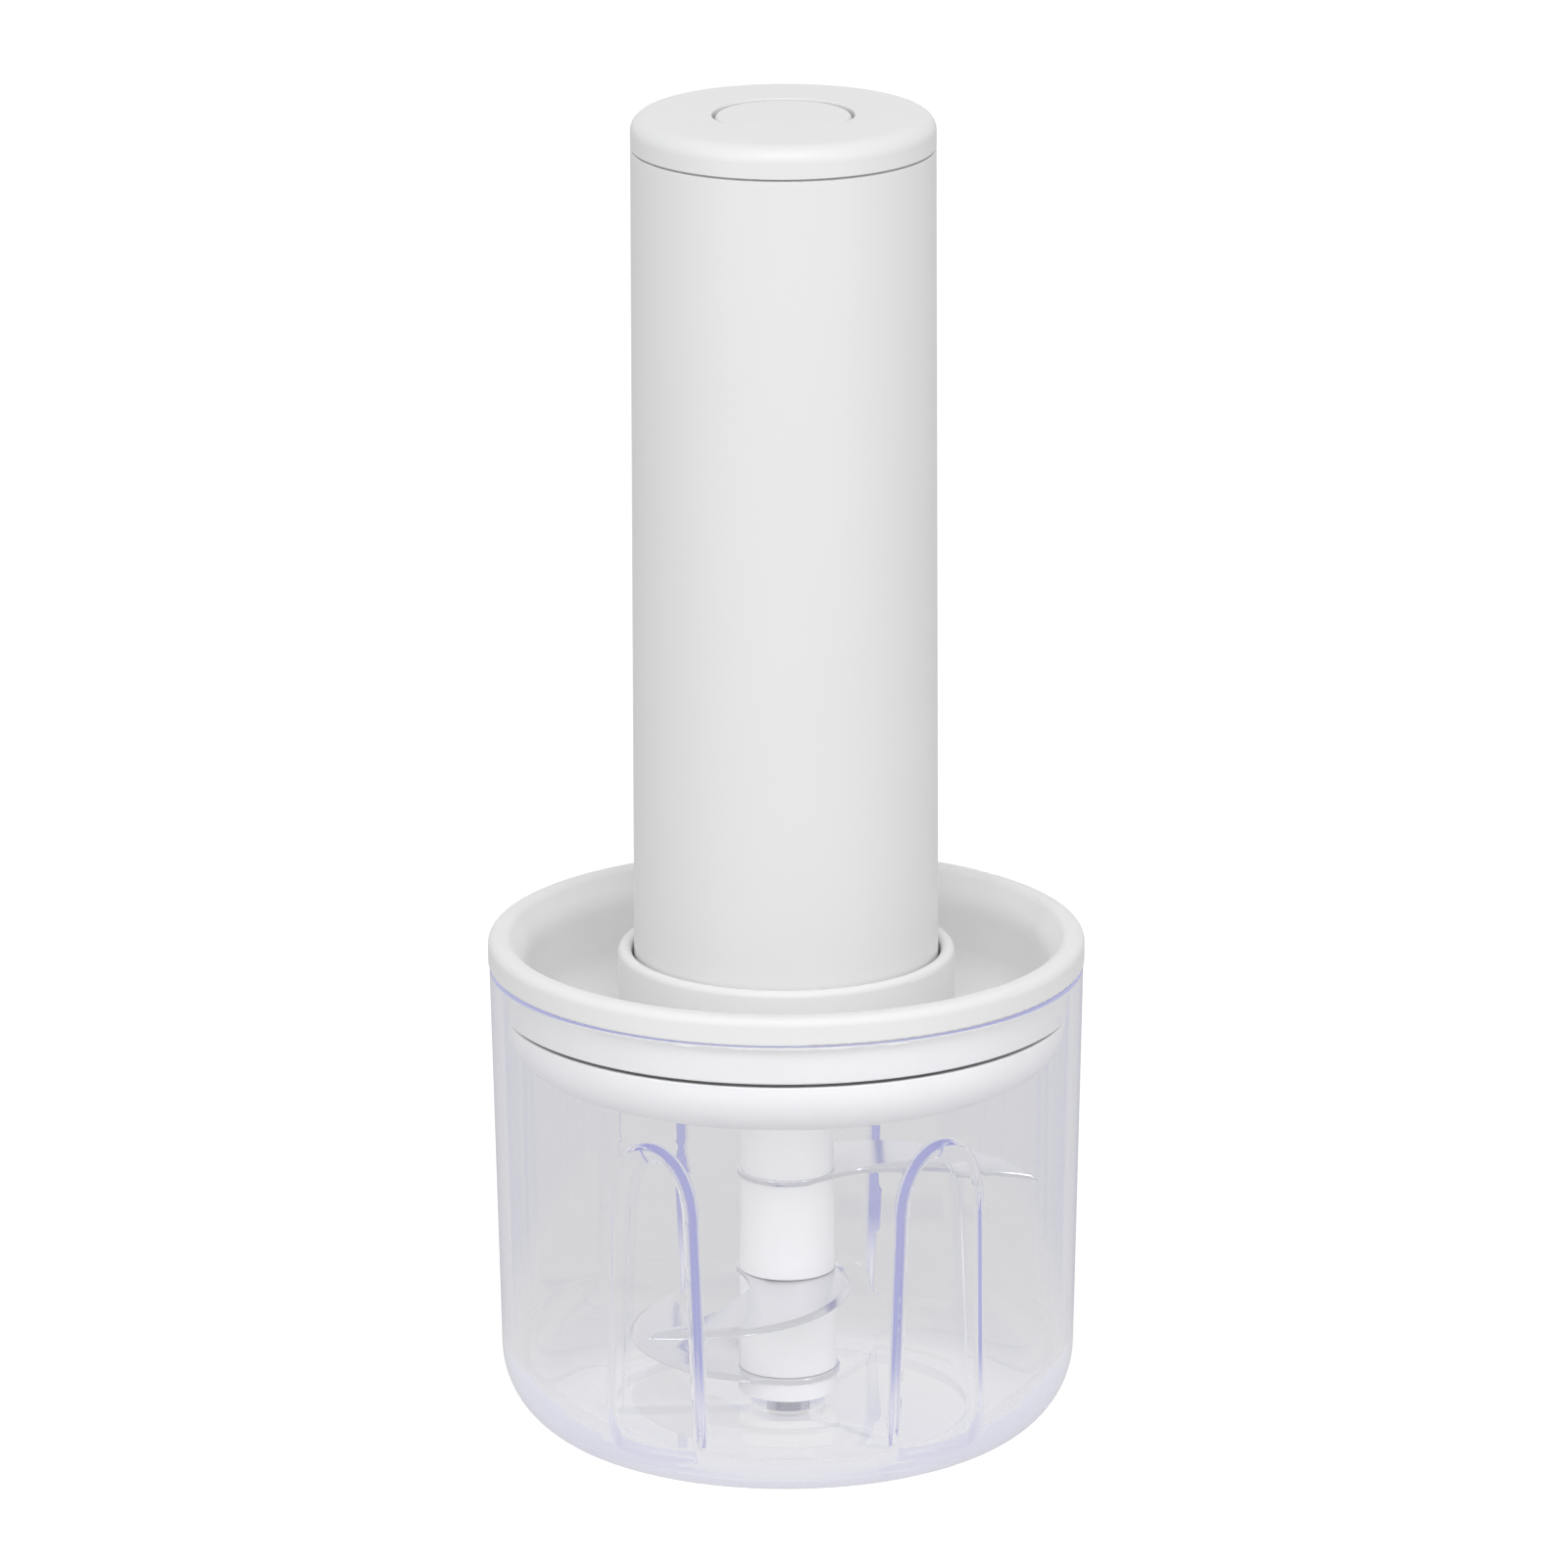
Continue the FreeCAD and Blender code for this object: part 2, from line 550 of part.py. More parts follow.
def rounded_slab(width, height, radius, y0, y1, z):
    """Rounded rectangle facing +Y, extruded along Y."""
    wire = rounded_wire([(-width / 2, z - height / 2, radius), (width / 2, z - height / 2, radius),
                         (width / 2, z + height / 2, radius), (-width / 2, z + height / 2, radius)])
    slab = Part.Face(wire).extrude(V(0, y1 - y0, 0))
    slab.translate(V(0, y0, 0))
    return slab


def make_handle_shell():
    """Long tube of the handle with a ledge inside and the charging socket's window at the back."""
    ledge_r = bore_radius(COVER_TOP_Z) - LEDGE_WIDTH
    shell = turned([
        (HANDLE_FOOT_R, HANDLE_FOOT_Z, 0.4), (handle_radius(SHELL_TOP_Z), SHELL_TOP_Z, 0.15),
        (bore_radius(SHELL_TOP_Z), SHELL_TOP_Z), (bore_radius(MOUNT_Z), MOUNT_Z), (ledge_r, MOUNT_Z),
        (ledge_r, COVER_TOP_Z), (bore_radius(COVER_TOP_Z), COVER_TOP_Z),
        (bore_radius(HANDLE_FOOT_Z), HANDLE_FOOT_Z)])
    window = rounded_slab(SOCKET_WIDTH + 2 * BODY_GAP, SOCKET_HEIGHT + 2 * BODY_GAP, SOCKET_HEIGHT / 2,
                          HANDLE_TOP_R - 2 * HANDLE_WALL, HANDLE_TOP_R + OVERCUT, SOCKET_Z)
    recess = rounded_slab(FLAP_WIDTH + 2 * BODY_GAP, FLAP_HEIGHT + 2 * BODY_GAP, FLAP_CORNER_R + BODY_GAP,
                          HANDLE_TOP_R / 2, HANDLE_TOP_R + OVERCUT, SOCKET_Z)
    recess = recess.cut(disc(handle_radius(SOCKET_Z) - FLAP_DEPTH - FIT_GAP, COVER_TOP_Z, CAP_TOP_Z))
    return shell.cut([window, recess])


def make_charge_cover():
    """Curved soft flap over the charging socket, with a small lip to lift it by."""
    outer_r = handle_radius(SOCKET_Z)
    flap = rounded_slab(FLAP_WIDTH, FLAP_HEIGHT, FLAP_CORNER_R, HANDLE_TOP_R / 2, HANDLE_TOP_R + OVERCUT,
                        SOCKET_Z)
    flap = flap.common(tube(outer_r, outer_r - FLAP_DEPTH, SOCKET_Z - FLAP_HEIGHT, SOCKET_Z + FLAP_HEIGHT))
    lip_z = SOCKET_Z + FLAP_HEIGHT / 2 - 1.2
    lip = rounded_slab(4.0, 1.0, 0.4, outer_r - FLAP_DEPTH / 2, outer_r + FLAP_TAB, lip_z)
    return flap.fuse(lip)


def make_top_cap():
    """Round cap with a hole for the button and a skirt that snaps into the shell."""
    skirt_r = bore_radius(CAP_SEAM_Z - CAP_SKIRT) - FIT_GAP
    inner_r = skirt_r - CAP_SKIRT_WALL
    plate_z = CAP_TOP_Z - CAP_PLATE
    skirt_z = CAP_SEAM_Z - CAP_SKIRT
    hole_r = BUTTON_R + BUTTON_HOLE_GAP
    cap = turned([
        (hole_r, plate_z), (hole_r, CAP_TOP_Z, 0.25), (HANDLE_TOP_R, CAP_TOP_Z, CAP_EDGE_R),
        (HANDLE_TOP_R, CAP_SEAM_Z, 0.15), (skirt_r, CAP_SEAM_Z), (skirt_r, skirt_z, 0.3), (inner_r, skirt_z),
        (inner_r, plate_z, 1.0)])
    return cap


def make_button():
    """Round push button with a retaining flange and a stem onto the dome."""
    flange_z = BUTTON_FLANGE_TOP_Z - BUTTON_FLANGE
    return turned([
        (0, DOME_TOP_Z + FIT_GAP), (BUTTON_STEM_R, DOME_TOP_Z + FIT_GAP), (BUTTON_STEM_R, flange_z),
        (BUTTON_FLANGE_R, flange_z), (BUTTON_FLANGE_R, BUTTON_FLANGE_TOP_Z), (BUTTON_R, BUTTON_FLANGE_TOP_Z),
        (BUTTON_R, BUTTON_TOP_Z, BUTTON_EDGE_R), (0, BUTTON_TOP_Z)])


def make_button_dome():
    """Soft bell that springs the button back, standing on the switch board round the switch."""
    rim_z = BOARD_TOP_Z + DOME_WALL
    inside_top = DOME_TOP_Z - DOME_WALL
    return turned([
        (DOME_BASE_R - 2 * DOME_WALL, BOARD_TOP_Z), (DOME_BASE_R, BOARD_TOP_Z), (DOME_BASE_R, rim_z),
        (DOME_BASE_R - DOME_WALL, rim_z), (DOME_TOP_R + DOME_WALL, DOME_TOP_Z), (0, DOME_TOP_Z),
        (0, inside_top), (DOME_TOP_R, inside_top)])


def make_bottom_cover():
    """Disc that closes the handle's foot, with a seat for the shaft seal and countersunk screw holes."""
    cover = disc(bore_radius(COVER_TOP_Z) - FIT_GAP, HANDLE_FOOT_Z, COVER_TOP_Z)
    cuts = [disc(SHAFT_SEAL_R, HANDLE_FOOT_Z + 0.6, COVER_TOP_Z + OVERCUT),
            disc(COUPLING_FLATS / 2, HANDLE_FOOT_Z - OVERCUT, COVER_TOP_Z)]
    hole = disc(SCREW_R + FIT_GAP, HANDLE_FOOT_Z - OVERCUT, COVER_TOP_Z + OVERCUT, COVER_SCREW_CIRCLE_R)
    sink = disc(SCREW_HEAD_R + FIT_GAP, HANDLE_FOOT_Z - OVERCUT, HANDLE_FOOT_Z + SCREW_HEAD + FIT_GAP,
                COVER_SCREW_CIRCLE_R)
    cuts += ring_of(hole.fuse(sink), COVER_SCREW_COUNT, 90)
    return cover.cut(cuts)


def make_shaft_seal():
    """Lip seal between the bottom cover and the motor's shaft."""
    return tube(SHAFT_SEAL_R, SHAFT_R + 2 * RUNNING_GAP, HANDLE_FOOT_Z + 0.6, COVER_TOP_Z)


def screw(head_z, length, x):
    """Slotted screw beside the Z axis, its head at head_z and its shank pointing up."""
    head = disc(SCREW_HEAD_R, head_z, head_z + SCREW_HEAD, x)
    shank = disc(SCREW_R, head_z, head_z + SCREW_HEAD + length, x)
    slot = block(x - SCREW_R, x + SCREW_R, -SCREW_SLOT / 2, SCREW_SLOT / 2, head_z, head_z + SCREW_SLOT_DEPTH)
    return head.fuse(shank).cut(slot)


def make_cover_screws():
    """Screws through the bottom cover into the motor mount."""
    length = MOTOR_Z - HANDLE_FOOT_Z - SCREW_HEAD - FIT_GAP
    one = screw(HANDLE_FOOT_Z + FIT_GAP, length, COVER_SCREW_CIRCLE_R)
    return Part.makeCompound(ring_of(one, COVER_SCREW_COUNT, 90))


# ---------------------------------------------------------------- switch board and battery
def make_switch_board():
    """Round circuit board on the cradle's standoffs."""
    board = disc(BOARD_R, BOARD_Z, BOARD_TOP_Z)
    notch = block(LEAD_CIRCLE_R - 2 * LEAD_R, LEAD_CIRCLE_R + 2 * LEAD_R, -2 * LEAD_R, 2 * LEAD_R,
                  BOARD_TOP_Z, BOARD_TOP_Z + OVERCUT)
    return board.cut(notch)


def make_tact_switch():
    """Square push switch with a round plunger."""
    half = SWITCH_SIDE / 2
    return block(-half, half, -half, half, BOARD_TOP_Z, SWITCH_TOP_Z).fuse(
        disc(SWITCH_PLUNGER_R, SWITCH_TOP_Z, PLUNGER_TOP_Z))


def make_charge_socket():
    """Metal charging socket with rounded ends and a tongue inside."""
    mouth_y = HANDLE_TOP_R - SOCKET_INSET
    back_y = mouth_y - SOCKET_LENGTH
    end_r = SOCKET_HEIGHT / 2 - 0.01
    shell = rounded_slab(SOCKET_WIDTH, SOCKET_HEIGHT, end_r, back_y, mouth_y, SOCKET_Z)
    hollow = rounded_slab(SOCKET_WIDTH - 2 * SOCKET_WALL, SOCKET_HEIGHT - 2 * SOCKET_WALL,
                          end_r - SOCKET_WALL, back_y + SOCKET_BACK, mouth_y + OVERCUT, SOCKET_Z)
    tongue = block(-TONGUE_WIDTH / 2, TONGUE_WIDTH / 2, back_y + SOCKET_BACK / 2, mouth_y - TONGUE_INSET,
                   SOCKET_Z - TONGUE_THICKNESS / 2, SOCKET_Z + TONGUE_THICKNESS / 2)
    return shell.cut(hollow).fuse(tongue)


def make_battery_cell():
    """Standard 18650 cell with its raised contact."""
    shoulder_z = CELL_TOP_Z - CELL_NUB
    return turned([
        (0, CELL_Z), (CELL_R, CELL_Z, 0.6), (CELL_R, shoulder_z, 0.8), (CELL_NUB_R, shoulder_z),
        (CELL_NUB_R, CELL_TOP_Z, 0.3), (0, CELL_TOP_Z)])


def make_battery_cradle():
    """Moulded cradle: two plates, a half tube round the cell, legs to the motor and board standoffs."""
    lower = disc(bore_radius(CRADLE_Z) - BODY_GAP, CRADLE_Z, CRADLE_Z + CRADLE_PLATE)
    upper = disc(bore_radius(CRADLE_TOP_Z) - BODY_GAP, CRADLE_TOP_Z - CRADLE_PLATE, CRADLE_TOP_Z)
    inner_r = CELL_R + BODY_GAP
    sleeve = tube(inner_r + CRADLE_WALL, inner_r, CRADLE_Z, CRADLE_TOP_Z)
    sleeve = sleeve.common(block(-BOARD_R, BOARD_R, 0, BOARD_R, CRADLE_Z, CRADLE_TOP_Z))
    leg = disc(CRADLE_STANDOFF_R, END_CAP_TOP_Z, CRADLE_Z + 0.2, CRADLE_LEG_CIRCLE_R)
    post = disc(CRADLE_STANDOFF_R, CRADLE_TOP_Z - 0.2, BOARD_Z, BOARD_R - 3)
    cradle = lower.fuse([upper, sleeve] + ring_of(leg, 3, 90) + ring_of(post, 3, 90))
    half = LEAD_R + BODY_GAP
    lead_slot = block(CELL_R, BOARD_R + OVERCUT, -half, half, CRADLE_Z - OVERCUT, CRADLE_Z + CRADLE_PLATE)
    lead_hole = disc(half, CRADLE_TOP_Z - CRADLE_PLATE - OVERCUT, BOARD_Z, LEAD_CIRCLE_R)
    tab_half = TAB_WIDTH / 2 + BODY_GAP
    tab_room = block(-tab_half, tab_half, -CELL_R - 2 * BODY_GAP - TAB_THICKNESS, BODY_GAP + TAB_THICKNESS,
                     CRADLE_TOP_Z - CRADLE_PLATE, CRADLE_TOP_Z)
    return cradle.cut(ring_of(lead_slot, 2) + ring_of(lead_hole, 2) + [tab_room])


def make_battery_tabs():
    """Nickel strips from both ends of the cell to the board."""
    half = TAB_WIDTH / 2
    top = block(-half, half, 0, TAB_THICKNESS, CELL_TOP_Z, BOARD_Z)
    strip_y = -CELL_R - BODY_GAP
    foot = block(-half, half, strip_y - TAB_THICKNESS, 0, CELL_Z - TAB_THICKNESS, CELL_Z)
    strip = block(-half, half, strip_y - TAB_THICKNESS, strip_y, CELL_Z - TAB_THICKNESS, BOARD_Z)
    return Part.makeCompound([top, foot.fuse(strip)])


def make_lead_wires():
    """Pair of insulated leads from the motor's terminals up to the board."""
    start_x = BRUSH_END_X + TERMINAL_THICKNESS + LEAD_R
    leave_z = END_CAP_TOP_Z + TERMINAL_HEIGHT
    path_points = [(start_x, END_CAP_TOP_Z + LEAD_START), (start_x, leave_z),
                   (LEAD_CIRCLE_R, CRADLE_Z + CRADLE_PLATE + LEAD_RISE), (LEAD_CIRCLE_R, BOARD_Z)]
    closed = rounded_wire([path_points[0], path_points[1] + (LEAD_BEND_R,), path_points[2] + (LEAD_BEND_R,),
                           path_points[3]])
    return_line = (path_points[3][0] + path_points[0][0]) / 2
    open_edges = [edge for edge in closed.OrderedEdges
                  if not (abs(edge.Length - math.dist(path_points[0], path_points[3])) < 1e-6
                          and abs(edge.CenterOfMass.x - return_line) < 1e-6)]
    path = Part.Wire(Part.sortEdges(open_edges)[0])
    ring = Part.Wire(Part.makeCircle(LEAD_R, V(start_x, 0, END_CAP_TOP_Z + LEAD_START), AXIS))
    lead = path.makePipeShell([ring], True, False)
    return Part.makeCompound([lead, swung(lead, 180)])


# ---------------------------------------------------------------- motor
def make_motor_can():
    """Drawn steel can with a nose for the front bearing."""
    inner_r = MOTOR_R - MOTOR_WALL
    nose_z = MOTOR_Z - MOTOR_NOSE
    front_z = MOTOR_Z + MOTOR_FRONT
    can = turned([
        (MOTOR_BUSH_R, nose_z), (MOTOR_NOSE_R, nose_z, 0.3), (MOTOR_NOSE_R, MOTOR_Z), (MOTOR_R, MOTOR_Z, 1.0),
        (MOTOR_R, MOTOR_TOP_Z), (inner_r, MOTOR_TOP_Z), (inner_r, front_z, 0.5), (MOTOR_BUSH_R, front_z)])
    hole = disc(SCREW_R, MOTOR_Z - OVERCUT, front_z + OVERCUT, MOTOR_SCREW_CIRCLE_R)
    return can.cut(ring_of(hole, 2, 90))


def make_motor_mount():
    """Disc that rests on the handle's ledge, holds the motor and takes the cover's screws."""
    ledge_r = bore_radius(COVER_TOP_Z) - LEDGE_WIDTH - FIT_GAP
    mount = disc(bore_radius(MOUNT_Z) - FIT_GAP, MOUNT_Z, MOTOR_Z)
    boss_r = min(SCREW_HEAD_R, ledge_r - COVER_SCREW_CIRCLE_R)
    boss = disc(boss_r, COVER_TOP_Z, MOUNT_Z + 0.2, COVER_SCREW_CIRCLE_R)
    pilot = disc(SCREW_R, COVER_TOP_Z - OVERCUT, MOTOR_Z + OVERCUT, COVER_SCREW_CIRCLE_R)
    mount = mount.fuse(ring_of(boss, COVER_SCREW_COUNT, 90))
    cuts = ring_of(pilot, COVER_SCREW_COUNT, 90)
    cuts.append(disc(MOTOR_NOSE_R + FIT_GAP, MOUNT_Z - OVERCUT, MOTOR_Z + OVERCUT))
    for side in (1, -1):
        y = side * MOTOR_SCREW_CIRCLE_R
        cuts.append(disc(SCREW_R + FIT_GAP, MOUNT_Z - OVERCUT, MOTOR_Z + OVERCUT, 0, y))
        cuts.append(disc(SCREW_HEAD_R + FIT_GAP, MOUNT_Z - OVERCUT, MOUNT_Z + SCREW_HEAD + FIT_GAP, 0, y))
    return mount.cut(cuts)


def make_motor_screws():
    """Two screws that hold the motor to its mount."""
    length = MOTOR_Z + MOTOR_FRONT - MOUNT_Z - SCREW_HEAD
    one = screw(MOUNT_Z + FIT_GAP, length, MOTOR_SCREW_CIRCLE_R)
    return Part.makeCompound(ring_of(one, 2, 90))


def make_magnets():
    """Pair of curved ferrite magnets against the can's wall."""
    outer_r = MOTOR_R - MOTOR_WALL
    low = V(0, 0, MAGNET_Z)
    arc = Part.makeCylinder(outer_r, MAGNET_LENGTH, low, AXIS, MAGNET_SPAN_DEG)
    arc = arc.cut(disc(outer_r - MAGNET_THICKNESS, MAGNET_Z - OVERCUT, MAGNET_Z + MAGNET_LENGTH + OVERCUT))
    return Part.makeCompound(ring_of(arc, 2, -MAGNET_SPAN_DEG / 2))


def make_end_cap():
    """Plastic end of the motor that carries the brushes and the rear bearing."""
    skirt_z = COMMUTATOR_Z + COMMUTATOR_LENGTH / 2
    skirt_r = MOTOR_R - MOTOR_WALL
    cap = disc(MOTOR_R - 0.5, MOTOR_TOP_Z, END_CAP_TOP_Z)
    cap = cap.fuse([tube(skirt_r, skirt_r - 1.6, skirt_z, MOTOR_TOP_Z + 0.2),
                    disc(END_CAP_HUB_R, END_CAP_TOP_Z - 0.2, END_CAP_TOP_Z + END_CAP_HUB)])
    holder = block(COMMUTATOR_R + HOLDER_GAP, BRUSH_END_X, -BRUSH_WIDTH, BRUSH_WIDTH,
                   COMMUTATOR_Z + JOIN, MOTOR_TOP_Z + JOIN)
    cap = cap.fuse([holder, swung(holder, 180)])
    half = BRUSH_WIDTH / 2
    terminal_slot = block(BRUSH_END_X, BRUSH_END_X + TERMINAL_THICKNESS, -half, half,
                          COMMUTATOR_Z, END_CAP_TOP_Z + OVERCUT)
    brush_slot = block(COMMUTATOR_R, BRUSH_END_X, -half, half, brush_low(), brush_low() + BRUSH_WIDTH)
    cuts = [disc(MOTOR_BUSH_R, END_CAP_TOP_Z, END_CAP_TOP_Z + MOTOR_BUSH),
            disc(SHAFT_R + BODY_GAP, MOTOR_TOP_Z - OVERCUT, END_CAP_TOP_Z + END_CAP_HUB + OVERCUT)]
    for piece in (terminal_slot, brush_slot):
        cuts += [piece, swung(piece, 180)]
    return cap.cut(cuts)


def brush_low():
    """Underside of the brushes, centred on the commutator."""
    return COMMUTATOR_Z + (COMMUTATOR_LENGTH - BRUSH_WIDTH) / 2


def make_brushes():
    """Two carbon brushes on opposite sides of the commutator."""
    half = BRUSH_WIDTH / 2
    brush = block(COMMUTATOR_R + BRUSH_GAP, BRUSH_END_X, -half, half, brush_low(), brush_low() + BRUSH_WIDTH)
    return Part.makeCompound([brush, swung(brush, 180)])


def make_terminals():
    """Two brass tabs that feed the brushes."""
    half = BRUSH_WIDTH / 2
    tab = block(BRUSH_END_X, BRUSH_END_X + TERMINAL_THICKNESS, -half, half, brush_low(),
                END_CAP_TOP_Z + TERMINAL_HEIGHT)
    return Part.makeCompound([tab, swung(tab, 180)])


def make_motor_bearings():
    """Sintered bushes in the motor's nose and end cap."""
    bore_r = SHAFT_R + RUNNING_GAP
    front = tube(MOTOR_BUSH_R, bore_r, MOTOR_Z - MOTOR_NOSE, MOTOR_Z + MOTOR_FRONT)
    rear = tube(MOTOR_BUSH_R, bore_r, END_CAP_TOP_Z, END_CAP_TOP_Z + MOTOR_BUSH)
    return Part.makeCompound([front, rear])


# ---------------------------------------------------------------- rotor
def make_rotor_shaft():
    """Steel shaft from the rear bearing down into the drive coupling."""
    return turned([(0, SHAFT_FOOT_Z), (SHAFT_R, SHAFT_FOOT_Z, 0.3), (SHAFT_R, SHAFT_TOP_Z, 0.3),
                   (0, SHAFT_TOP_Z)])


def make_armature():
    """Slotted iron core on the shaft."""
    top = ARMATURE_Z + ARMATURE_LENGTH
    core = tube(ARMATURE_R, SHAFT_R, ARMATURE_Z, top)
    low = ARMATURE_Z - OVERCUT
    high = top + OVERCUT
    slot = block(SLOT_ROOT_R, WINDING_R, -SLOT_WIDTH / 2, SLOT_WIDTH / 2, low, high)
    mouth = block(SLOT_ROOT_R, ARMATURE_R + OVERCUT, -SLOT_MOUTH / 2, SLOT_MOUTH / 2, low, high)
    return core.cut(ring_of(slot.fuse(mouth), POLE_COUNT))


def make_windings():
    """Copper coils: bars in the slots joined by rounded end turns."""
    top = ARMATURE_Z + ARMATURE_LENGTH
    inner_r = SHAFT_R + 1.2
    ends = []
    for low in (ARMATURE_Z - WINDING_END, top):
        high = low + WINDING_END
        ends.append(turned([(inner_r, low, 0.8), (WINDING_R, low, 1.2), (WINDING_R, high, 1.2),
                            (inner_r, high, 0.8)]))
    half = SLOT_WIDTH / 2 - 0.2
    bar = block(SLOT_ROOT_R + 0.2, WINDING_R - 1.4, -half, half, ARMATURE_Z - 1.0, top + 1.0)
    return ends[0].fuse([ends[1]] + ring_of(bar, POLE_COUNT))


def make_commutator():
    """Copper commutator with a slit between each pair of segments."""
    high = COMMUTATOR_Z + COMMUTATOR_LENGTH
    ring = tube(COMMUTATOR_R, SHAFT_R, COMMUTATOR_Z, high)
    slit = block(COMMUTATOR_R - 0.8, COMMUTATOR_R + 1, -0.15, 0.15, COMMUTATOR_Z - OVERCUT, high + OVERCUT)
    return ring.cut(ring_of(slit, POLE_COUNT, 36))


def make_drive_coupling():
    """Hexagonal drive dog on the end of the shaft."""
    dog = hexagon(COUPLING_FLATS, COUPLING_Z, COUPLING_TOP_Z)
    nose_r = COUPLING_FLATS / 2
    lead_z = COUPLING_Z + COUPLING_LEAD
    high = COUPLING_TOP_Z + OVERCUT
    nose = turned([(0, COUPLING_Z), (nose_r, COUPLING_Z), (nose_r + COUPLING_LEAD, lead_z),
                   (nose_r + COUPLING_LEAD, high), (0, high)])
    return dog.common(nose).cut(disc(SHAFT_R, SHAFT_FOOT_Z, high))


# ---------------------------------------------------------------- all nodes
def build():
    """Every node of the model by name."""
    upper_low, upper_high = blade_levels("upper_blade")
    middle_low, middle_high = blade_levels("middle_blade")
    lower_low, lower_high = blade_levels("lower_blade")
    nodes = {
        "bowl": make_bowl(),
        "pivot_pin": make_pivot_pin(),
        "lid_dish": make_lid(),
        "lid_seal": make_lid_seal(),
        "lid_bush": make_lid_bush(),
        "handle_shell": make_handle_shell(),
        "top_cap": make_top_cap(),
        "power_button": make_button(),
        "button_dome": make_button_dome(),
        "switch_board": make_switch_board(),
        "tact_switch": make_tact_switch(),
        "charge_socket": make_charge_socket(),
        "charge_cover": make_charge_cover(),
        "battery_cell": make_battery_cell(),
        "battery_cradle": make_battery_cradle(),
        "battery_tabs": make_battery_tabs(),
        "lead_wires": make_lead_wires(),
        "motor_can": make_motor_can(),
        "motor_mount": make_motor_mount(),
        "motor_screws": make_motor_screws(),
        "motor_magnets": make_magnets(),
        "motor_end_cap": make_end_cap(),
        "motor_brushes": make_brushes(),
        "motor_terminals": make_terminals(),
        "motor_bearings": make_motor_bearings(),
        "bottom_cover": make_bottom_cover(),
        "cover_screws": make_cover_screws(),
        "shaft_seal": make_shaft_seal(),
        "rotor_shaft": make_rotor_shaft(),
        "armature_core": make_armature(),
        "armature_windings": make_windings(),
        "commutator": make_commutator(),
        "drive_coupling": make_drive_coupling(),
        "hub_core": make_hub_core(),
        "hub_upper_spacer": make_hub_ring(middle_high, upper_low),
        "hub_lower_spacer": make_hub_ring(lower_high, middle_low),
        "hub_foot": make_hub_ring(HUB_FOOT_Z, lower_low),
        "hub_bush": make_hub_bush(),
    }
    for name in BLADES:
        nodes[name] = make_blade(name)
    return nodes


os.makedirs("parts", exist_ok=True)
for node, shape in build().items():
    shape.exportStep("parts/" + node + ".step")
    state = "valid" if shape.isValid() else "INVALID"
    print(node, len(shape.Solids), "solid(s)", round(shape.Volume), "mm3", state)
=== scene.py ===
"""Looks of a cordless mini food processor: materials, detailed pieces, studio stage and camera."""

import json
import logging
import math
from dataclasses import dataclass, field
from enum import Enum
from typing import Callable, Protocol

import bpy
from mathutils import Matrix, Vector

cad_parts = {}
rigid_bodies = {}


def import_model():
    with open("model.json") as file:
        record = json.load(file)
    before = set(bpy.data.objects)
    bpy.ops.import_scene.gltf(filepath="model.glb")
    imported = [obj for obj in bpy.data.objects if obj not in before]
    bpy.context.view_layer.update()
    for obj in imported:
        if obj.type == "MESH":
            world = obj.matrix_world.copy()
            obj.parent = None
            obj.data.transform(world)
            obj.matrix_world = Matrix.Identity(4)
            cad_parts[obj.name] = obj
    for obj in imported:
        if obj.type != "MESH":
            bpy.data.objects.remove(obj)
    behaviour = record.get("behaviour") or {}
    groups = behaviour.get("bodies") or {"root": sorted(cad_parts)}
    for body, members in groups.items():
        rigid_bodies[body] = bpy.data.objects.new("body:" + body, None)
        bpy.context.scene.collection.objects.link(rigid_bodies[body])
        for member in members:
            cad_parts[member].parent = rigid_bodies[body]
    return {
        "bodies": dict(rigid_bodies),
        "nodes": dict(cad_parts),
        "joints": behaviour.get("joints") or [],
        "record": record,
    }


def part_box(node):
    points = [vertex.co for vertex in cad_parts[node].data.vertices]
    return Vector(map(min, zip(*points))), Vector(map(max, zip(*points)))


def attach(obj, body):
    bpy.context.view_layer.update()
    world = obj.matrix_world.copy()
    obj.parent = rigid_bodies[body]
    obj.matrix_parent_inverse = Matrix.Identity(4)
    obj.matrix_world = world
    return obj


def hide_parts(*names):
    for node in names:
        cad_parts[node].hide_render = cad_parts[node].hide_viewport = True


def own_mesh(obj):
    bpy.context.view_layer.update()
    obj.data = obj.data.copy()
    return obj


LOG = logging.getLogger("food_processor")
WHITE_LIGHT = (1.0, 1.0, 1.0, 1.0)
# Sockets of a Mix node that mixes colours.
MIX_A, MIX_B, MIX_RESULT = 6, 7, 2
# Vertices nearer than this are one vertex, in a copied node and in a turned piece.
COPY_MERGE_MM = 0.001
TURN_MERGE_MM = 0.005
# Neighbouring faces that turn by less than this are one flat face.
FLAT_DEG = 0.3
# A vertex this near to a face of the section counts as on it.
ON_FACE_MM = 0.01
# Turned pieces are smooth across edges that turn by less than this.
SMOOTH_DEG = 40.0


class Body(Enum):
    """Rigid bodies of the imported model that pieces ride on."""

    BOWL = "bowl"
    LID = "lid"
    MOTOR_UNIT = "motor_unit"
    CHARGE_FLAP = "charge_flap"
    BUTTON = "button"
    ROTOR = "rotor"
    BLADES = "blade_stack"


# ---------------------------------------------------------------- units, colours and nodes
def mm(value: float) -> float:
    """Millimetres as metres.

    Args:
        value: A length in millimetres.

    Returns:
        The length in metres.
    """
    return value / 1000.0


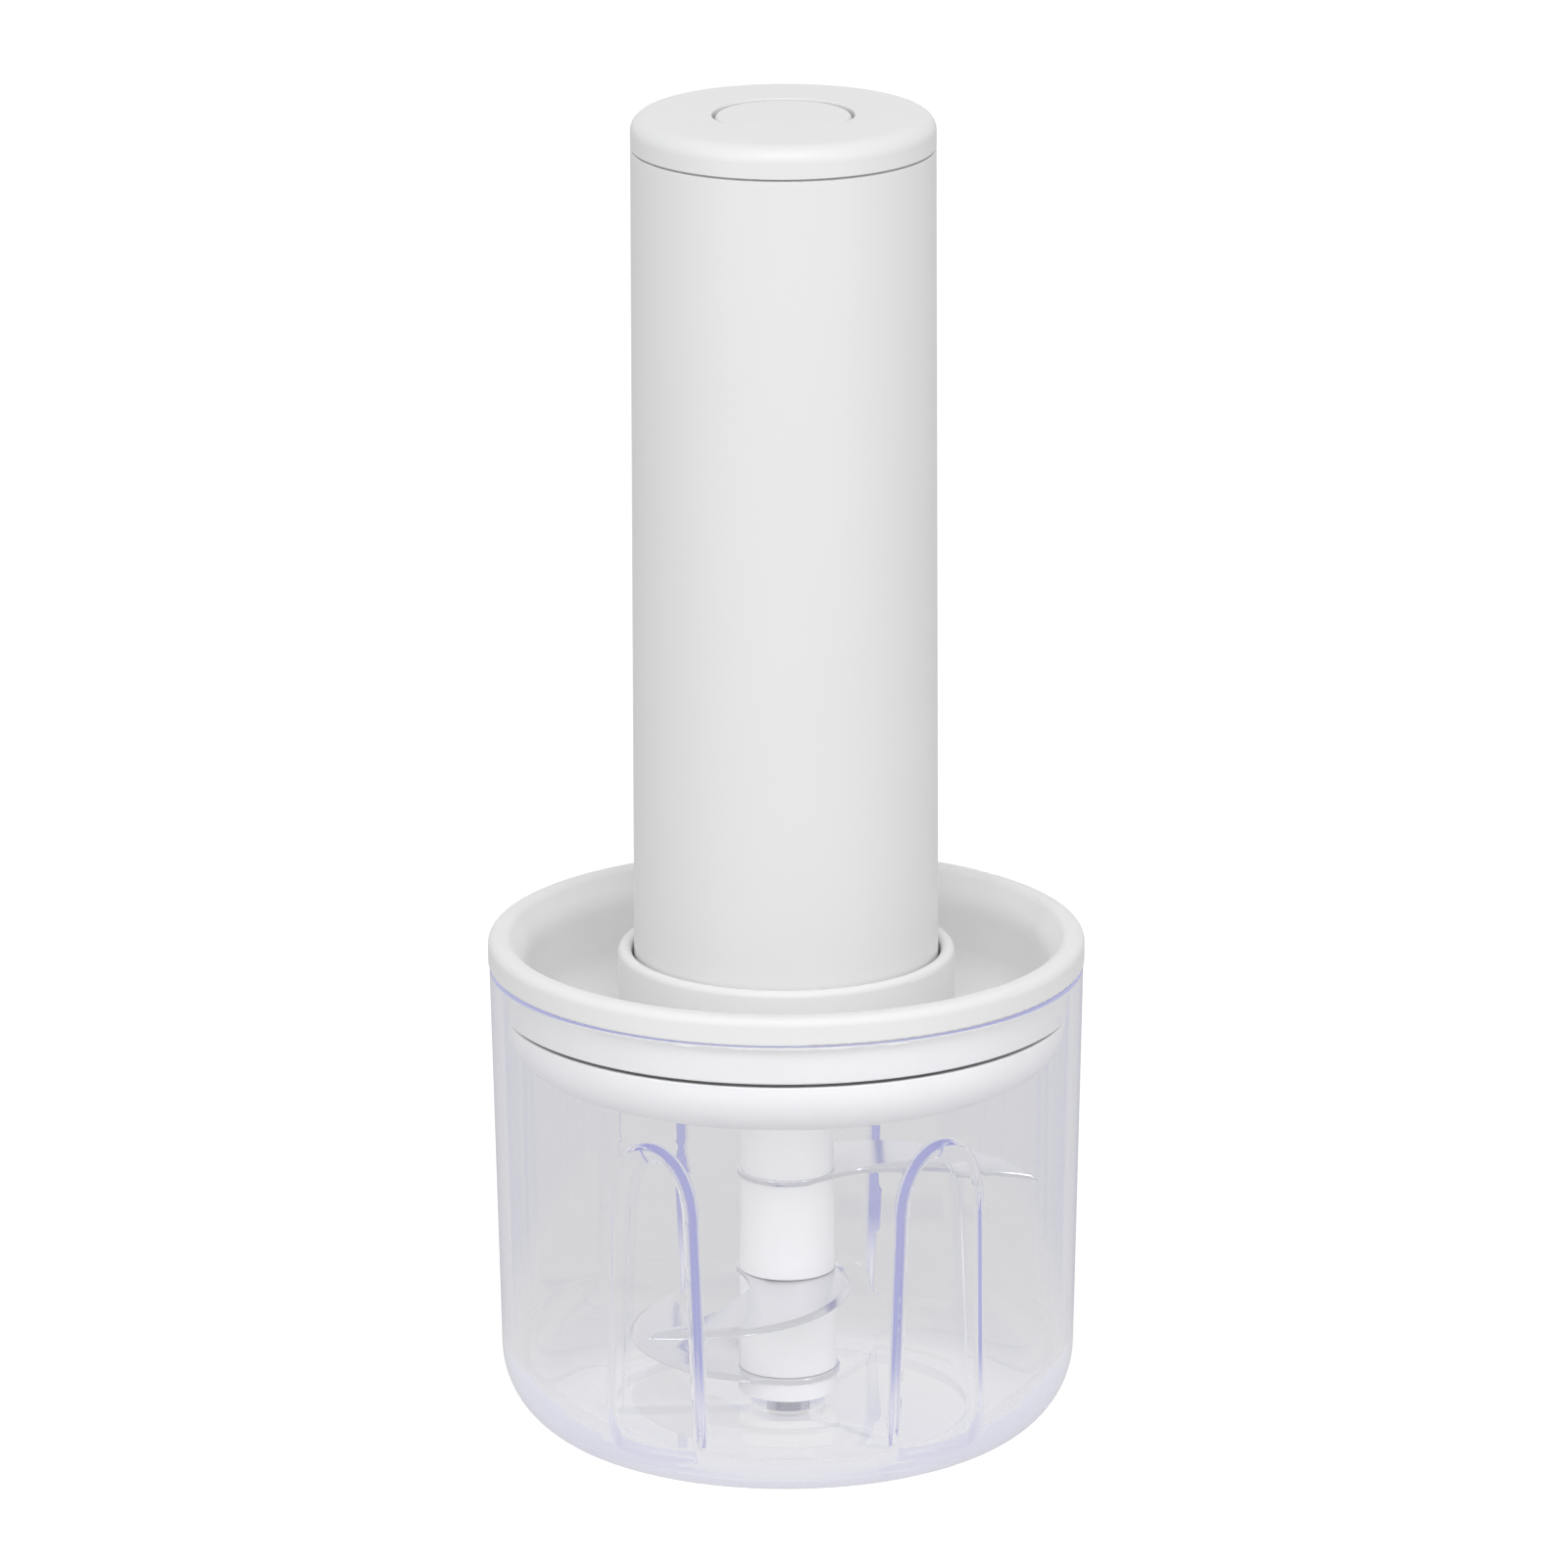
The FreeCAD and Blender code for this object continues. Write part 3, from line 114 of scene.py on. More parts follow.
def linear(colour: str) -> tuple[float, float, float, float]:
    """Turn an sRGB hex colour into linear light.

    Args:
        colour: Six hex digits, with or without a leading hash.

    Returns:
        Linear red, green, blue and an alpha of 1.
    """
    digits = colour.lstrip("#")
    channels = [int(digits[i:i + 2], 16) / 255.0 for i in (0, 2, 4)]
    lit = [c / 12.92 if c <= 0.04045 else ((c + 0.055) / 1.055) ** 2.4 for c in channels]
    return (lit[0], lit[1], lit[2], 1.0)


def per_metre(size_mm: float) -> float:
    """Scale of a texture whose features are a given size.

    Args:
        size_mm: Size of one feature of the pattern in millimetres.

    Returns:
        The texture's scale for coordinates in metres.
    """
    return 1.0 / mm(size_mm)


def add_node(tree: bpy.types.NodeTree, kind: str, settings: dict | None = None,
             links: dict | None = None) -> bpy.types.Node:
    """Add a shader node, set its properties and inputs, and link what feeds it.

    Args:
        tree: Node tree that the node goes in.
        kind: Blender's type name of the node.
        settings: Node properties or input values by name.
        links: Output sockets by the input name or number that they feed.

    Returns:
        The new node.
    """
    node = tree.nodes.new(kind)
    for name, value in (settings or {}).items():
        if isinstance(name, str) and hasattr(node, name):
            setattr(node, name, value)
        else:
            node.inputs[name].default_value = value
    for name, socket in (links or {}).items():
        tree.links.new(socket, node.inputs[name])
    return node


def new_material(name: str) -> tuple[bpy.types.Material, bpy.types.NodeTree, bpy.types.Node]:
    """Make an empty node material.

    Args:
        name: Name of the material.

    Returns:
        The material, its node tree and its output node.
    """
    material = bpy.data.materials.new(name)
    material.use_nodes = True
    tree = material.node_tree
    tree.nodes.clear()
    return material, tree, add_node(tree, "ShaderNodeOutputMaterial")


def noise(tree: bpy.types.NodeTree, place: bpy.types.NodeSocket, size_mm: float,
          detail: float) -> bpy.types.NodeSocket:
    """Make a noise whose features are a given size.

    Args:
        tree: Node tree that the noise goes in.
        place: Output socket that gives the place on the surface.
        size_mm: Size of one feature in millimetres.
        detail: Finer layers of noise on top of the first.

    Returns:
        Output socket of the noise, from 0 to 1.
    """
    texture = add_node(tree, "ShaderNodeTexNoise", {"Scale": per_metre(size_mm), "Detail": detail},
                       {"Vector": place})
    return texture.outputs[0]


def blend(tree: bpy.types.NodeTree, first: str, second: str,
          share: bpy.types.NodeSocket) -> bpy.types.NodeSocket:
    """Mix two colours by a share that varies over the surface.

    Args:
        tree: Node tree that the mix goes in.
        first: Hex colour where the share is 0.
        second: Hex colour where the share is 1.
        share: Output socket that gives the share.

    Returns:
        Output socket of the mixed colour.
    """
    mix = add_node(tree, "ShaderNodeMix",
                   {"data_type": "RGBA", MIX_A: linear(first), MIX_B: linear(second)}, {0: share})
    return mix.outputs[MIX_RESULT]


def relief(tree: bpy.types.NodeTree, height: bpy.types.NodeSocket, depth_mm: float,
           strength: float) -> bpy.types.NodeSocket:
    """Turn a height into fine relief in the surface.

    Args:
        tree: Node tree that the relief goes in.
        height: Output socket that gives the height, from 0 to 1.
        depth_mm: Depth between the two in millimetres.
        strength: Share of the relief that shows.

    Returns:
        Output socket of the surface's direction.
    """
    bump = add_node(tree, "ShaderNodeBump", {"Distance": mm(depth_mm), "Strength": strength},
                    {"Height": height})
    return bump.outputs[0]


# ---------------------------------------------------------------- finishes
@dataclass(frozen=True)
class MouldedPlastic:
    """Injection-moulded polymer with a fine spark-eroded grain, which gives a soft satin sheen.

    The grain is drawn coarser than the real 0.05 mm so that it shows; slow waves vary the shade a little.
    """

    name: str
    colour: str
    shade: str
    roughness: float = 0.38
    grain_mm: float = 0.35
    grain_depth_mm: float = 0.002
    wave_mm: float = 24.0
    grain_strength: float = 0.6
    gloss_spread: float = 0.03
    ior: float = 1.53

    def build(self) -> bpy.types.Material:
        """Make the material.

        Returns:
            The material.
        """
        material, tree, output = new_material(self.name)
        place = add_node(tree, "ShaderNodeTexCoord").outputs["Object"]
        grain = noise(tree, place, self.grain_mm, 2.0)
        tint = blend(tree, self.colour, self.shade, noise(tree, place, self.wave_mm, 1.0))
        rough = add_node(tree, "ShaderNodeMapRange", {"To Min": self.roughness - self.gloss_spread,
                                                      "To Max": self.roughness + self.gloss_spread},
                         {"Value": grain})
        shader = add_node(tree, "ShaderNodeBsdfPrincipled", {"IOR": self.ior},
                          {"Base Color": tint, "Roughness": rough.outputs[0],
                           "Normal": relief(tree, grain, self.grain_depth_mm, self.grain_strength)})
        tree.links.new(shader.outputs[0], output.inputs["Surface"])
        return material


@dataclass(frozen=True)
class ClearPlastic:
    """Polished clear SAN: nearly colourless in thin walls, with a violet tint along thick edges.

    Past a few bounces the wall is drawn as a painted glow in place of the light caught in it: pale violet,
    and whiter at the foot, where that light would come up from the table. Slow waves stand for the moulded
    surface, which is never quite even.
    """

    name: str
    tint: str
    density: float
    surface: str = "#f7f7f7"
    passing: str = "#fdfdfe"
    # Colours of the painted glow that stands in for light caught in the wall, violet above and whiter at the
    # foot.
    painted_edge_glow: str = "#b9bbe2"
    painted_foot_glow: str = "#f3f3f7"
    foot_mm: tuple[float, float] = (11.0, 19.0)
    trapped_after: float = 4.5
    wave_mm: float = 14.0
    wave_depth_mm: float = 0.02
    wave_strength: float = 0.15
    ior: float = 1.56

    def build(self) -> bpy.types.Material:
        """Make the material, which lets lamps through so that what it holds is lit.

        Returns:
            The material.
        """
        material, tree, output = new_material(self.name)
        place = add_node(tree, "ShaderNodeTexCoord").outputs["Object"]
        wave = noise(tree, place, self.wave_mm, 1.0)
        clear = add_node(tree, "ShaderNodeBsdfPrincipled",
                         {"Base Color": linear(self.surface), "Roughness": 0.0, "IOR": self.ior,
                          "Transmission Weight": 1.0},
                         {"Normal": relief(tree, wave, self.wave_depth_mm, self.wave_strength)})
        # Painted glow: past a few bounces the wall glows pale violet, and whiter near the foot, in place of
        # the light caught in it.
        path = add_node(tree, "ShaderNodeLightPath")
        trapped = add_node(tree, "ShaderNodeMath", {"operation": "GREATER_THAN", 1: self.trapped_after},
                           {0: path.outputs["Ray Depth"]})
        height = add_node(tree, "ShaderNodeSeparateXYZ", None, {0: place})
        above = add_node(tree, "ShaderNodeMapRange", {"From Min": mm(self.foot_mm[0]),
                                                      "From Max": mm(self.foot_mm[1])},
                         {"Value": height.outputs[2]})
        edge = blend(tree, self.painted_foot_glow, self.painted_edge_glow, above.outputs[0])
        carried = add_node(tree, "ShaderNodeMix", {"data_type": "RGBA", MIX_B: WHITE_LIGHT},
                           {0: path.outputs["Diffuse Depth"], MIX_A: edge})
        glow = add_node(tree, "ShaderNodeEmission", {"Strength": 1.0},
                        {"Color": carried.outputs[MIX_RESULT]})
        body = add_node(tree, "ShaderNodeMixShader", None,
                        {0: trapped.outputs[0], 1: clear.outputs[0], 2: glow.outputs[0]})
        passing = add_node(tree, "ShaderNodeBsdfTransparent", {"Color": linear(self.passing)})
        mixed = add_node(tree, "ShaderNodeMixShader", None,
                         {0: path.outputs["Is Shadow Ray"], 1: body.outputs[0], 2: passing.outputs[0]})
        inside = add_node(tree, "ShaderNodeVolumeAbsorption", {"Color": linear(self.tint),
                                                               "Density": self.density})
        tree.links.new(mixed.outputs[0], output.inputs["Surface"])
        tree.links.new(inside.outputs[0], output.inputs["Volume"])
        return material


@dataclass(frozen=True)
class RolledSteel:
    """Metal with a fine directional grain from rolling, turning or grinding."""

    name: str
    colour: str
    roughness: float
    streak_mm: tuple[float, float, float] = (0.2, 6.0, 0.2)
    streak_depth_mm: float = 0.001
    streak_strength: float = 0.5
    gloss_range: tuple[float, float] = (0.8, 1.25)

    def build(self) -> bpy.types.Material:
        """Make the material.

        Returns:
            The material.
        """
        material, tree, output = new_material(self.name)
        place = add_node(tree, "ShaderNodeTexCoord").outputs["Object"]
        stretch = add_node(tree, "ShaderNodeMapping", {"Scale": tuple(per_metre(s) for s in self.streak_mm)},
                           {"Vector": place})
        streak = add_node(tree, "ShaderNodeTexNoise", {"Scale": 1.0, "Detail": 3.0},
                          {"Vector": stretch.outputs[0]})
        low, high = self.gloss_range
        rough = add_node(tree, "ShaderNodeMapRange", {"To Min": self.roughness * low,
                                                      "To Max": self.roughness * high},
                         {"Value": streak.outputs[0]})
        ridges = relief(tree, streak.outputs[0], self.streak_depth_mm, self.streak_strength)
        shader = add_node(tree, "ShaderNodeBsdfPrincipled",
                          {"Base Color": linear(self.colour), "Metallic": 1.0},
                          {"Roughness": rough.outputs[0], "Normal": ridges})
        tree.links.new(shader.outputs[0], output.inputs["Surface"])
        return material


@dataclass(frozen=True)
class SpeckledSolid:
    """Pressed, sintered or coated solid whose colour varies from grain to grain."""

    name: str
    colour: str
    fleck: str
    roughness: float
    fleck_mm: float = 0.3
    fleck_depth_mm: float = 0.01
    fleck_strength: float = 0.4
    metallic: float = 0.0

    def build(self) -> bpy.types.Material:
        """Make the material.

        Returns:
            The material.
        """
        material, tree, output = new_material(self.name)
        place = add_node(tree, "ShaderNodeTexCoord").outputs["Object"]
        cells = add_node(tree, "ShaderNodeTexVoronoi", {"Scale": per_metre(self.fleck_mm)}, {"Vector": place})
        share = add_node(tree, "ShaderNodeSeparateColor", None, {0: cells.outputs["Color"]})
        grains = relief(tree, cells.outputs["Distance"], self.fleck_depth_mm, self.fleck_strength)
        shader = add_node(tree, "ShaderNodeBsdfPrincipled",
                          {"Roughness": self.roughness, "Metallic": self.metallic},
                          {"Base Color": blend(tree, self.colour, self.fleck, share.outputs[0]),
                           "Normal": grains})
        tree.links.new(shader.outputs[0], output.inputs["Surface"])
        return material


# White ABS of the casing: a bright neutral white with a broad soft highlight.
WHITE_ABS = MouldedPlastic("satin_white_abs", "#f0f0f0", "#eeeeef", roughness=0.4)
# The lid is matt white polypropylene: the same white with hardly any highlight.
LID_PLASTIC = MouldedPlastic("matt_white_polypropylene", "#f6f6f6", "#f4f4f4", roughness=0.52)
# The hub is plain polypropylene, a touch brighter and cooler than the casing.
HUB_PLASTIC = MouldedPlastic("white_polypropylene", "#f8f8f8", "#f6f6f7", roughness=0.42)
# Silicone rubber is softer to the eye: a wide dull sheen.
WHITE_SILICONE = MouldedPlastic("white_silicone_rubber", "#f2f2f2", "#f0f0f0", roughness=0.5)
# Acetal bearing parts, smooth and slightly waxy.
ACETAL = MouldedPlastic("natural_acetal", "#e3e2dc", "#dddcd6", roughness=0.3)
# Internal brackets are black ABS, a dull dark grey under light.
BLACK_ABS = MouldedPlastic("black_abs", "#1b1b1d", "#161618", roughness=0.42)
# Nitrile rubber takes up nearly all light, with a wide faint sheen.
BLACK_NITRILE = MouldedPlastic("black_nitrile_rubber", "#141414", "#101010", roughness=0.62)
# Wire sleeve, board resist and cell film are coloured coats, the sleeve satin and the other two glossy.
RED_SLEEVE = MouldedPlastic("red_wire_sleeve", "#a01818", "#8a1212", roughness=0.45)
BOARD_RESIST = MouldedPlastic("green_solder_resist", "#0f4a26", "#0c3d20", roughness=0.28)
CELL_FILM = MouldedPlastic("green_shrink_film", "#2f7d4c", "#2a7044", roughness=0.25)
# The bowl is clear SAN: hardly tinted across one wall, violet where the sight line runs along the wall, from
# absorption in the wall and from its painted edge glow.
CLEAR_SAN = ClearPlastic("clear_san", "#8284d0", 12.0)
# Stamped stainless sheet: bright, with rolling lines that blur its reflections along one direction.
BLADE_STEEL = RolledSteel("rolled_stainless_steel", "#e4e4e7", 0.18)
# Turned and plated steel: fine rings round the axis, the zinc greyer and duller.
TURNED_STEEL = RolledSteel("turned_steel", "#b9b9bd", 0.25, streak_mm=(6.0, 6.0, 0.1))
ZINC_STEEL = RolledSteel("zinc_plated_steel", "#a9acb0", 0.4, streak_mm=(5.0, 5.0, 0.5))
# Strip and wire: warm metals, the copper with its turns drawn as ridges.
NICKEL_STRIP = RolledSteel("rolled_nickel_strip", "#b5b0a2", 0.3)
BRASS_STRIP = RolledSteel("stamped_brass", "#c9a24e", 0.3)
COPPER_WIRE = RolledSteel("enamelled_copper", "#b4673c", 0.32, streak_mm=(4.0, 4.0, 0.35),
                          streak_depth_mm=0.1)
# Stacked laminations: the edges of the 0.5 mm sheets show as ridges round the core.
CORE_STEEL = RolledSteel("stacked_silicon_steel", "#5c5d62", 0.5, streak_mm=(9.0, 9.0, 0.5),
                         streak_depth_mm=0.08)
# Sintered and pressed powders: dull, with grains of slightly different shade.
BRONZE = SpeckledSolid("sintered_bronze", "#8d6a3f", "#a98450", 0.5, metallic=1.0)
FERRITE = SpeckledSolid("sintered_ferrite", "#26262a", "#303034", 0.55)
CARBON = SpeckledSolid("pressed_carbon", "#101010", "#1c1c1c", 0.6)


# ---------------------------------------------------------------- stage
@dataclass(frozen=True)
class Lamp:
    """Rectangular soft lamp, placed in metres."""

    name: str
    place: tuple[float, float, float]
    aim: tuple[float, float, float]
    width: float
    height: float
    power_w: float

    def build(self) -> None:
        """Hang the lamp and turn it to what it lights."""
        data = bpy.data.lights.new(self.name, "AREA")
        data.shape = "RECTANGLE"
        data.size = self.width
        data.size_y = self.height
        data.energy = self.power_w
        lamp = bpy.data.objects.new(self.name, data)
        lamp.location = self.place
        lamp.rotation_euler = (Vector(self.aim) - Vector(self.place)).to_track_quat("-Z", "Y").to_euler()
        bpy.context.scene.collection.objects.link(lamp)


@dataclass
class Studio:
    """Pale floor, soft lamps and the camera.

    The floor and the surround are brighter where they are seen through the bowl or mirrored than as the
    light that they throw on the object, as a white cove behind the set would be.
    """

    floor_half_m: float = 14.0
    floor_gap_mm: float = 0.05
    floor_colour: str = "#a2a2a2"
    floor_shade: str = "#9f9f9f"
    floor_fibre_mm: float = 3.0
    floor_roughness: float = 0.9
    floor_specular: float = 0.1
    floor_glow: float = 0.8
    floor_through: float = 0.52
    floor_fill: float = 0.31
    sky: float = 0.55
    mirrored_sky: float = 1.07
    lamps: tuple[Lamp, ...] = (
        Lamp("left_strip", (-0.71, -0.82, 0.35), (0.0, 0.0, 0.11), 0.12, 0.9, 1.2),
        Lamp("right_strip", (0.71, -0.82, 0.35), (0.0, 0.0, 0.11), 0.12, 0.9, 1.2),
        Lamp("front_softbox", (0.0, -1.0, 1.2), (0.0, 0.0, 0.1), 1.0, 1.0, 8.0))
    lens_mm: float = 261.0
    sensor_mm: float = 36.0
    distance_m: float = 1.6762
    pitch_deg: float = 15.98
    azimuth_deg: float = -2.0
    roll_deg: float = 0.21
    target_z_m: float = 0.0988
    side_offset_m: float = -0.00025
    far_m: float = 100.0

    def build(self) -> None:
        """Make the floor, the lamps, the world and the camera."""
        self.make_floor()
        self.make_world()
        for lamp in self.lamps:
            lamp.build()
        self.make_camera()

    def make_floor(self) -> None:
        """Large pale sheet under the object."""
        begin_piece()
        bpy.ops.mesh.primitive_plane_add(size=2 * self.floor_half_m, location=(0, 0, -mm(self.floor_gap_mm)))
        floor = bpy.context.object
        floor.name = "studio_floor"
        material, tree, output = new_material("white_paper_sweep")
        place = add_node(tree, "ShaderNodeTexCoord").outputs["Object"]
        tint = blend(tree, self.floor_colour, self.floor_shade, noise(tree, place, self.floor_fibre_mm, 2.0))
        path = add_node(tree, "ShaderNodeLightPath")
        through = add_node(tree, "ShaderNodeMapRange", {"To Min": self.floor_fill,
                                                        "To Max": self.floor_through},
                           {"Value": path.outputs["Is Transmission Ray"]})
        glow = add_node(tree, "ShaderNodeMapRange", {"To Max": self.floor_glow},
                        {"Value": path.outputs["Is Camera Ray"], "To Min": through.outputs[0]})
        shader = add_node(tree, "ShaderNodeBsdfPrincipled",
                          {"Roughness": self.floor_roughness, "Specular IOR Level": self.floor_specular,
                           "Emission Color": WHITE_LIGHT},
                          {"Base Color": tint, "Emission Strength": glow.outputs[0]})
        tree.links.new(shader.outputs[0], output.inputs["Surface"])
        floor.data.materials.append(material)

    def make_world(self) -> None:
        """Even pale surroundings."""
        world = bpy.data.worlds.new("studio_surround")
        bpy.context.scene.world = world
        world.use_nodes = True
        tree = world.node_tree
        path = add_node(tree, "ShaderNodeLightPath")
        mirrored = add_node(tree, "ShaderNodeMath", {"operation": "MAXIMUM"},
                            {0: path.outputs["Is Glossy Ray"], 1: path.outputs["Is Transmission Ray"]})
        strength = add_node(tree, "ShaderNodeMapRange", {"To Min": self.sky, "To Max": self.mirrored_sky},
                            {"Value": mirrored.outputs[0]})
        background = tree.nodes["Background"]
        background.inputs["Color"].default_value = WHITE_LIGHT
        tree.links.new(strength.outputs[0], background.inputs["Strength"])
        bpy.context.scene.view_settings.view_transform = "Standard"

    def make_camera(self) -> None:
        """Long lens from slightly above, as in a catalogue picture."""
        pitch, azimuth, roll = (math.radians(a) for a in (self.pitch_deg, self.azimuth_deg, self.roll_deg))
        flat = Vector((math.sin(azimuth), -math.cos(azimuth), 0.0))
        right = Vector((math.cos(azimuth), math.sin(azimuth), 0.0))
        back = flat * math.cos(pitch) + Vector((0, 0, math.sin(pitch)))
        upward = back.cross(right)
        target = Vector((0, 0, self.target_z_m)) + right * self.side_offset_m
        side = right * math.cos(roll) - upward * math.sin(roll)
        top = upward * math.cos(roll) + right * math.sin(roll)
        data = bpy.data.cameras.new("catalogue_camera")
        data.lens = self.lens_mm
        data.sensor_width = self.sensor_mm
        data.clip_end = self.far_m
        camera = bpy.data.objects.new("catalogue_camera", data)
        matrix = Matrix((side, top, back)).transposed().to_4x4()
        matrix.translation = target + back * self.distance_m
        camera.matrix_world = matrix
        bpy.context.scene.collection.objects.link(camera)
        bpy.context.scene.camera = camera


# ---------------------------------------------------------------- modelling steps
def begin_piece() -> None:
    """Deselect everything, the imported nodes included."""
    bpy.ops.object.select_all(action="DESELECT")


def pick_vertices(piece: bpy.types.Object, wanted: Callable[[Vector], bool]) -> None:
    """Select the vertices of a piece by their place, in edit mode.

    Args:
        piece: The piece, in edit mode.
        wanted: Says whether a place is selected.
    """
    bpy.ops.mesh.select_all(action="DESELECT")
    bpy.ops.object.mode_set(mode="OBJECT")
    for vertex in piece.data.vertices:
        vertex.select = wanted(vertex.co)
    bpy.ops.object.mode_set(mode="EDIT")


def finish_modifier(piece: bpy.types.Object, kind: str, settings: dict) -> None:
    """Add a modifier to a piece and apply it.

    Args:
        piece: The piece.
        kind: Blender's type name of the modifier.
        settings: Its settings by name.
    """
    modifier = piece.modifiers.new(kind.lower(), kind)
    for name, value in settings.items():
        setattr(modifier, name, value)
    bpy.context.view_layer.objects.active = piece
    bpy.ops.object.modifier_apply(modifier=modifier.name)


def soften_edges(piece: bpy.types.Object, width_mm: float, segments: int, angle_deg: float) -> None:
    """Round the sharp edges of a piece and smooth its faces.

    Args:
        piece: The piece.
        width_mm: Width of the rounding in millimetres.
        segments: Faces across the rounding.
        angle_deg: Edges that turn by more than this are rounded.
    """
    finish_modifier(piece, "BEVEL", {"width": mm(width_mm), "segments": segments, "limit_method": "ANGLE",
                                     "angle_limit": math.radians(angle_deg)})
    begin_piece()
    piece.select_set(True)
    bpy.context.view_layer.objects.active = piece
    bpy.ops.object.shade_smooth_by_angle(angle=math.radians(angle_deg))


def copy_of_node(frame: dict, node: str, name: str) -> bpy.types.Object:
    """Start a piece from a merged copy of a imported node.

    Args:
        node: Name of the node.
        name: Name of the piece.

    Returns:
        The piece, active and selected.
    """
    begin_piece()
    piece = bpy.data.objects.new(name, frame["nodes"][node].data.copy())
    bpy.context.scene.collection.objects.link(piece)
    piece.select_set(True)
    bpy.context.view_layer.objects.active = piece
    bpy.ops.object.mode_set(mode="EDIT")
    bpy.ops.mesh.customdata_custom_splitnormals_clear()
    bpy.ops.mesh.select_all(action="SELECT")
    bpy.ops.mesh.remove_doubles(threshold=mm(COPY_MERGE_MM))
    bpy.ops.mesh.dissolve_limited(angle_limit=math.radians(FLAT_DEG))
    bpy.ops.object.mode_set(mode="OBJECT")
    return piece


def section(name: str, inner_m: float, outer_m: float, low_m: float, high_m: float) -> bpy.types.Object:
    """Start a turned piece from the rectangle of its section, in the XZ plane.

    Args:
        name: Name of the piece.
        inner_m: Radius of the section's inner side.
        outer_m: Radius of its outer side.
        low_m: Height of its lower side.
        high_m: Height of its upper side.

    Returns:
        The piece, in edit mode, as a closed line without a face.
    """
    begin_piece()
    bpy.ops.mesh.primitive_plane_add(size=1.0, location=((inner_m + outer_m) / 2, 0, (low_m + high_m) / 2),
                                     rotation=(math.pi / 2, 0, 0))
    piece = bpy.context.object
    piece.name = name
    piece.scale = (outer_m - inner_m, high_m - low_m, 1.0)
    bpy.ops.object.transform_apply(location=True, rotation=True, scale=True)
    bpy.ops.object.mode_set(mode="EDIT")
    bpy.ops.mesh.select_all(action="SELECT")
    bpy.ops.mesh.delete(type="ONLY_FACE")
    return piece


def turn_section(steps: int) -> None:
    """Spin the section in edit mode right round the upright axis, close it and smooth it.

    Args:
        steps: Faces round the axis.
    """
    bpy.ops.mesh.select_all(action="SELECT")
    bpy.ops.mesh.spin(steps=steps, angle=2 * math.pi, center=(0.0, 0.0, 0.0), axis=(0.0, 0.0, 1.0))
    bpy.ops.mesh.select_all(action="SELECT")
    bpy.ops.mesh.remove_doubles(threshold=mm(TURN_MERGE_MM))
    bpy.ops.mesh.normals_make_consistent(inside=False)
    bpy.ops.object.mode_set(mode="OBJECT")
    bpy.ops.object.shade_smooth_by_angle(angle=math.radians(SMOOTH_DEG))


# ---------------------------------------------------------------- sub-assemblies
class Finish(Protocol):
    """Anything that can make its own material."""

    name: str

    def build(self) -> bpy.types.Material:
        """Make the material."""


@dataclass
class SubAssembly:
    """Pieces that move with one body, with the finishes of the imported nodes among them."""

    frame: dict
    body: Body
    finishes: dict[str, Finish]

    def build(self) -> None:
        """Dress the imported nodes, then model the new pieces."""
        for node, finish in self.finishes.items():
            self.dress(self.frame["nodes"][node], finish)
        self.model()

    def model(self) -> None:
        """Model the new pieces, of which a plain sub-assembly has none."""

    def dress(self, piece: bpy.types.Object, finish: Finish) -> None:
        """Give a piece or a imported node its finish.

        Args:
            piece: The piece.
            finish: Its finish.
        """
        material = bpy.data.materials.get(finish.name) or finish.build()
        piece.data.materials.clear()
        piece.data.materials.append(material)
        LOG.info("%s: %s in %s", self.body.value, piece.name, finish.name)

    def mount(self, piece: bpy.types.Object, finish: Finish, slot: str, node: str | None = None) -> None:
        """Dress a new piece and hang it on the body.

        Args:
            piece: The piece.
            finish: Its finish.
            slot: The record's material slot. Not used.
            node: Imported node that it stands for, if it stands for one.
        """
        self.dress(piece, finish)
        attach(piece, self.body.value)
        if node is not None:
            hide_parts(node)


@dataclass
class Bowl(SubAssembly):
    """Clear bowl with arched pockets, and the pin that the blades turn on."""

    body: Body = Body.BOWL
    finishes: dict[str, Finish] = field(default_factory=lambda: {"bowl": CLEAR_SAN,
                                                                 "pivot_pin": TURNED_STEEL})


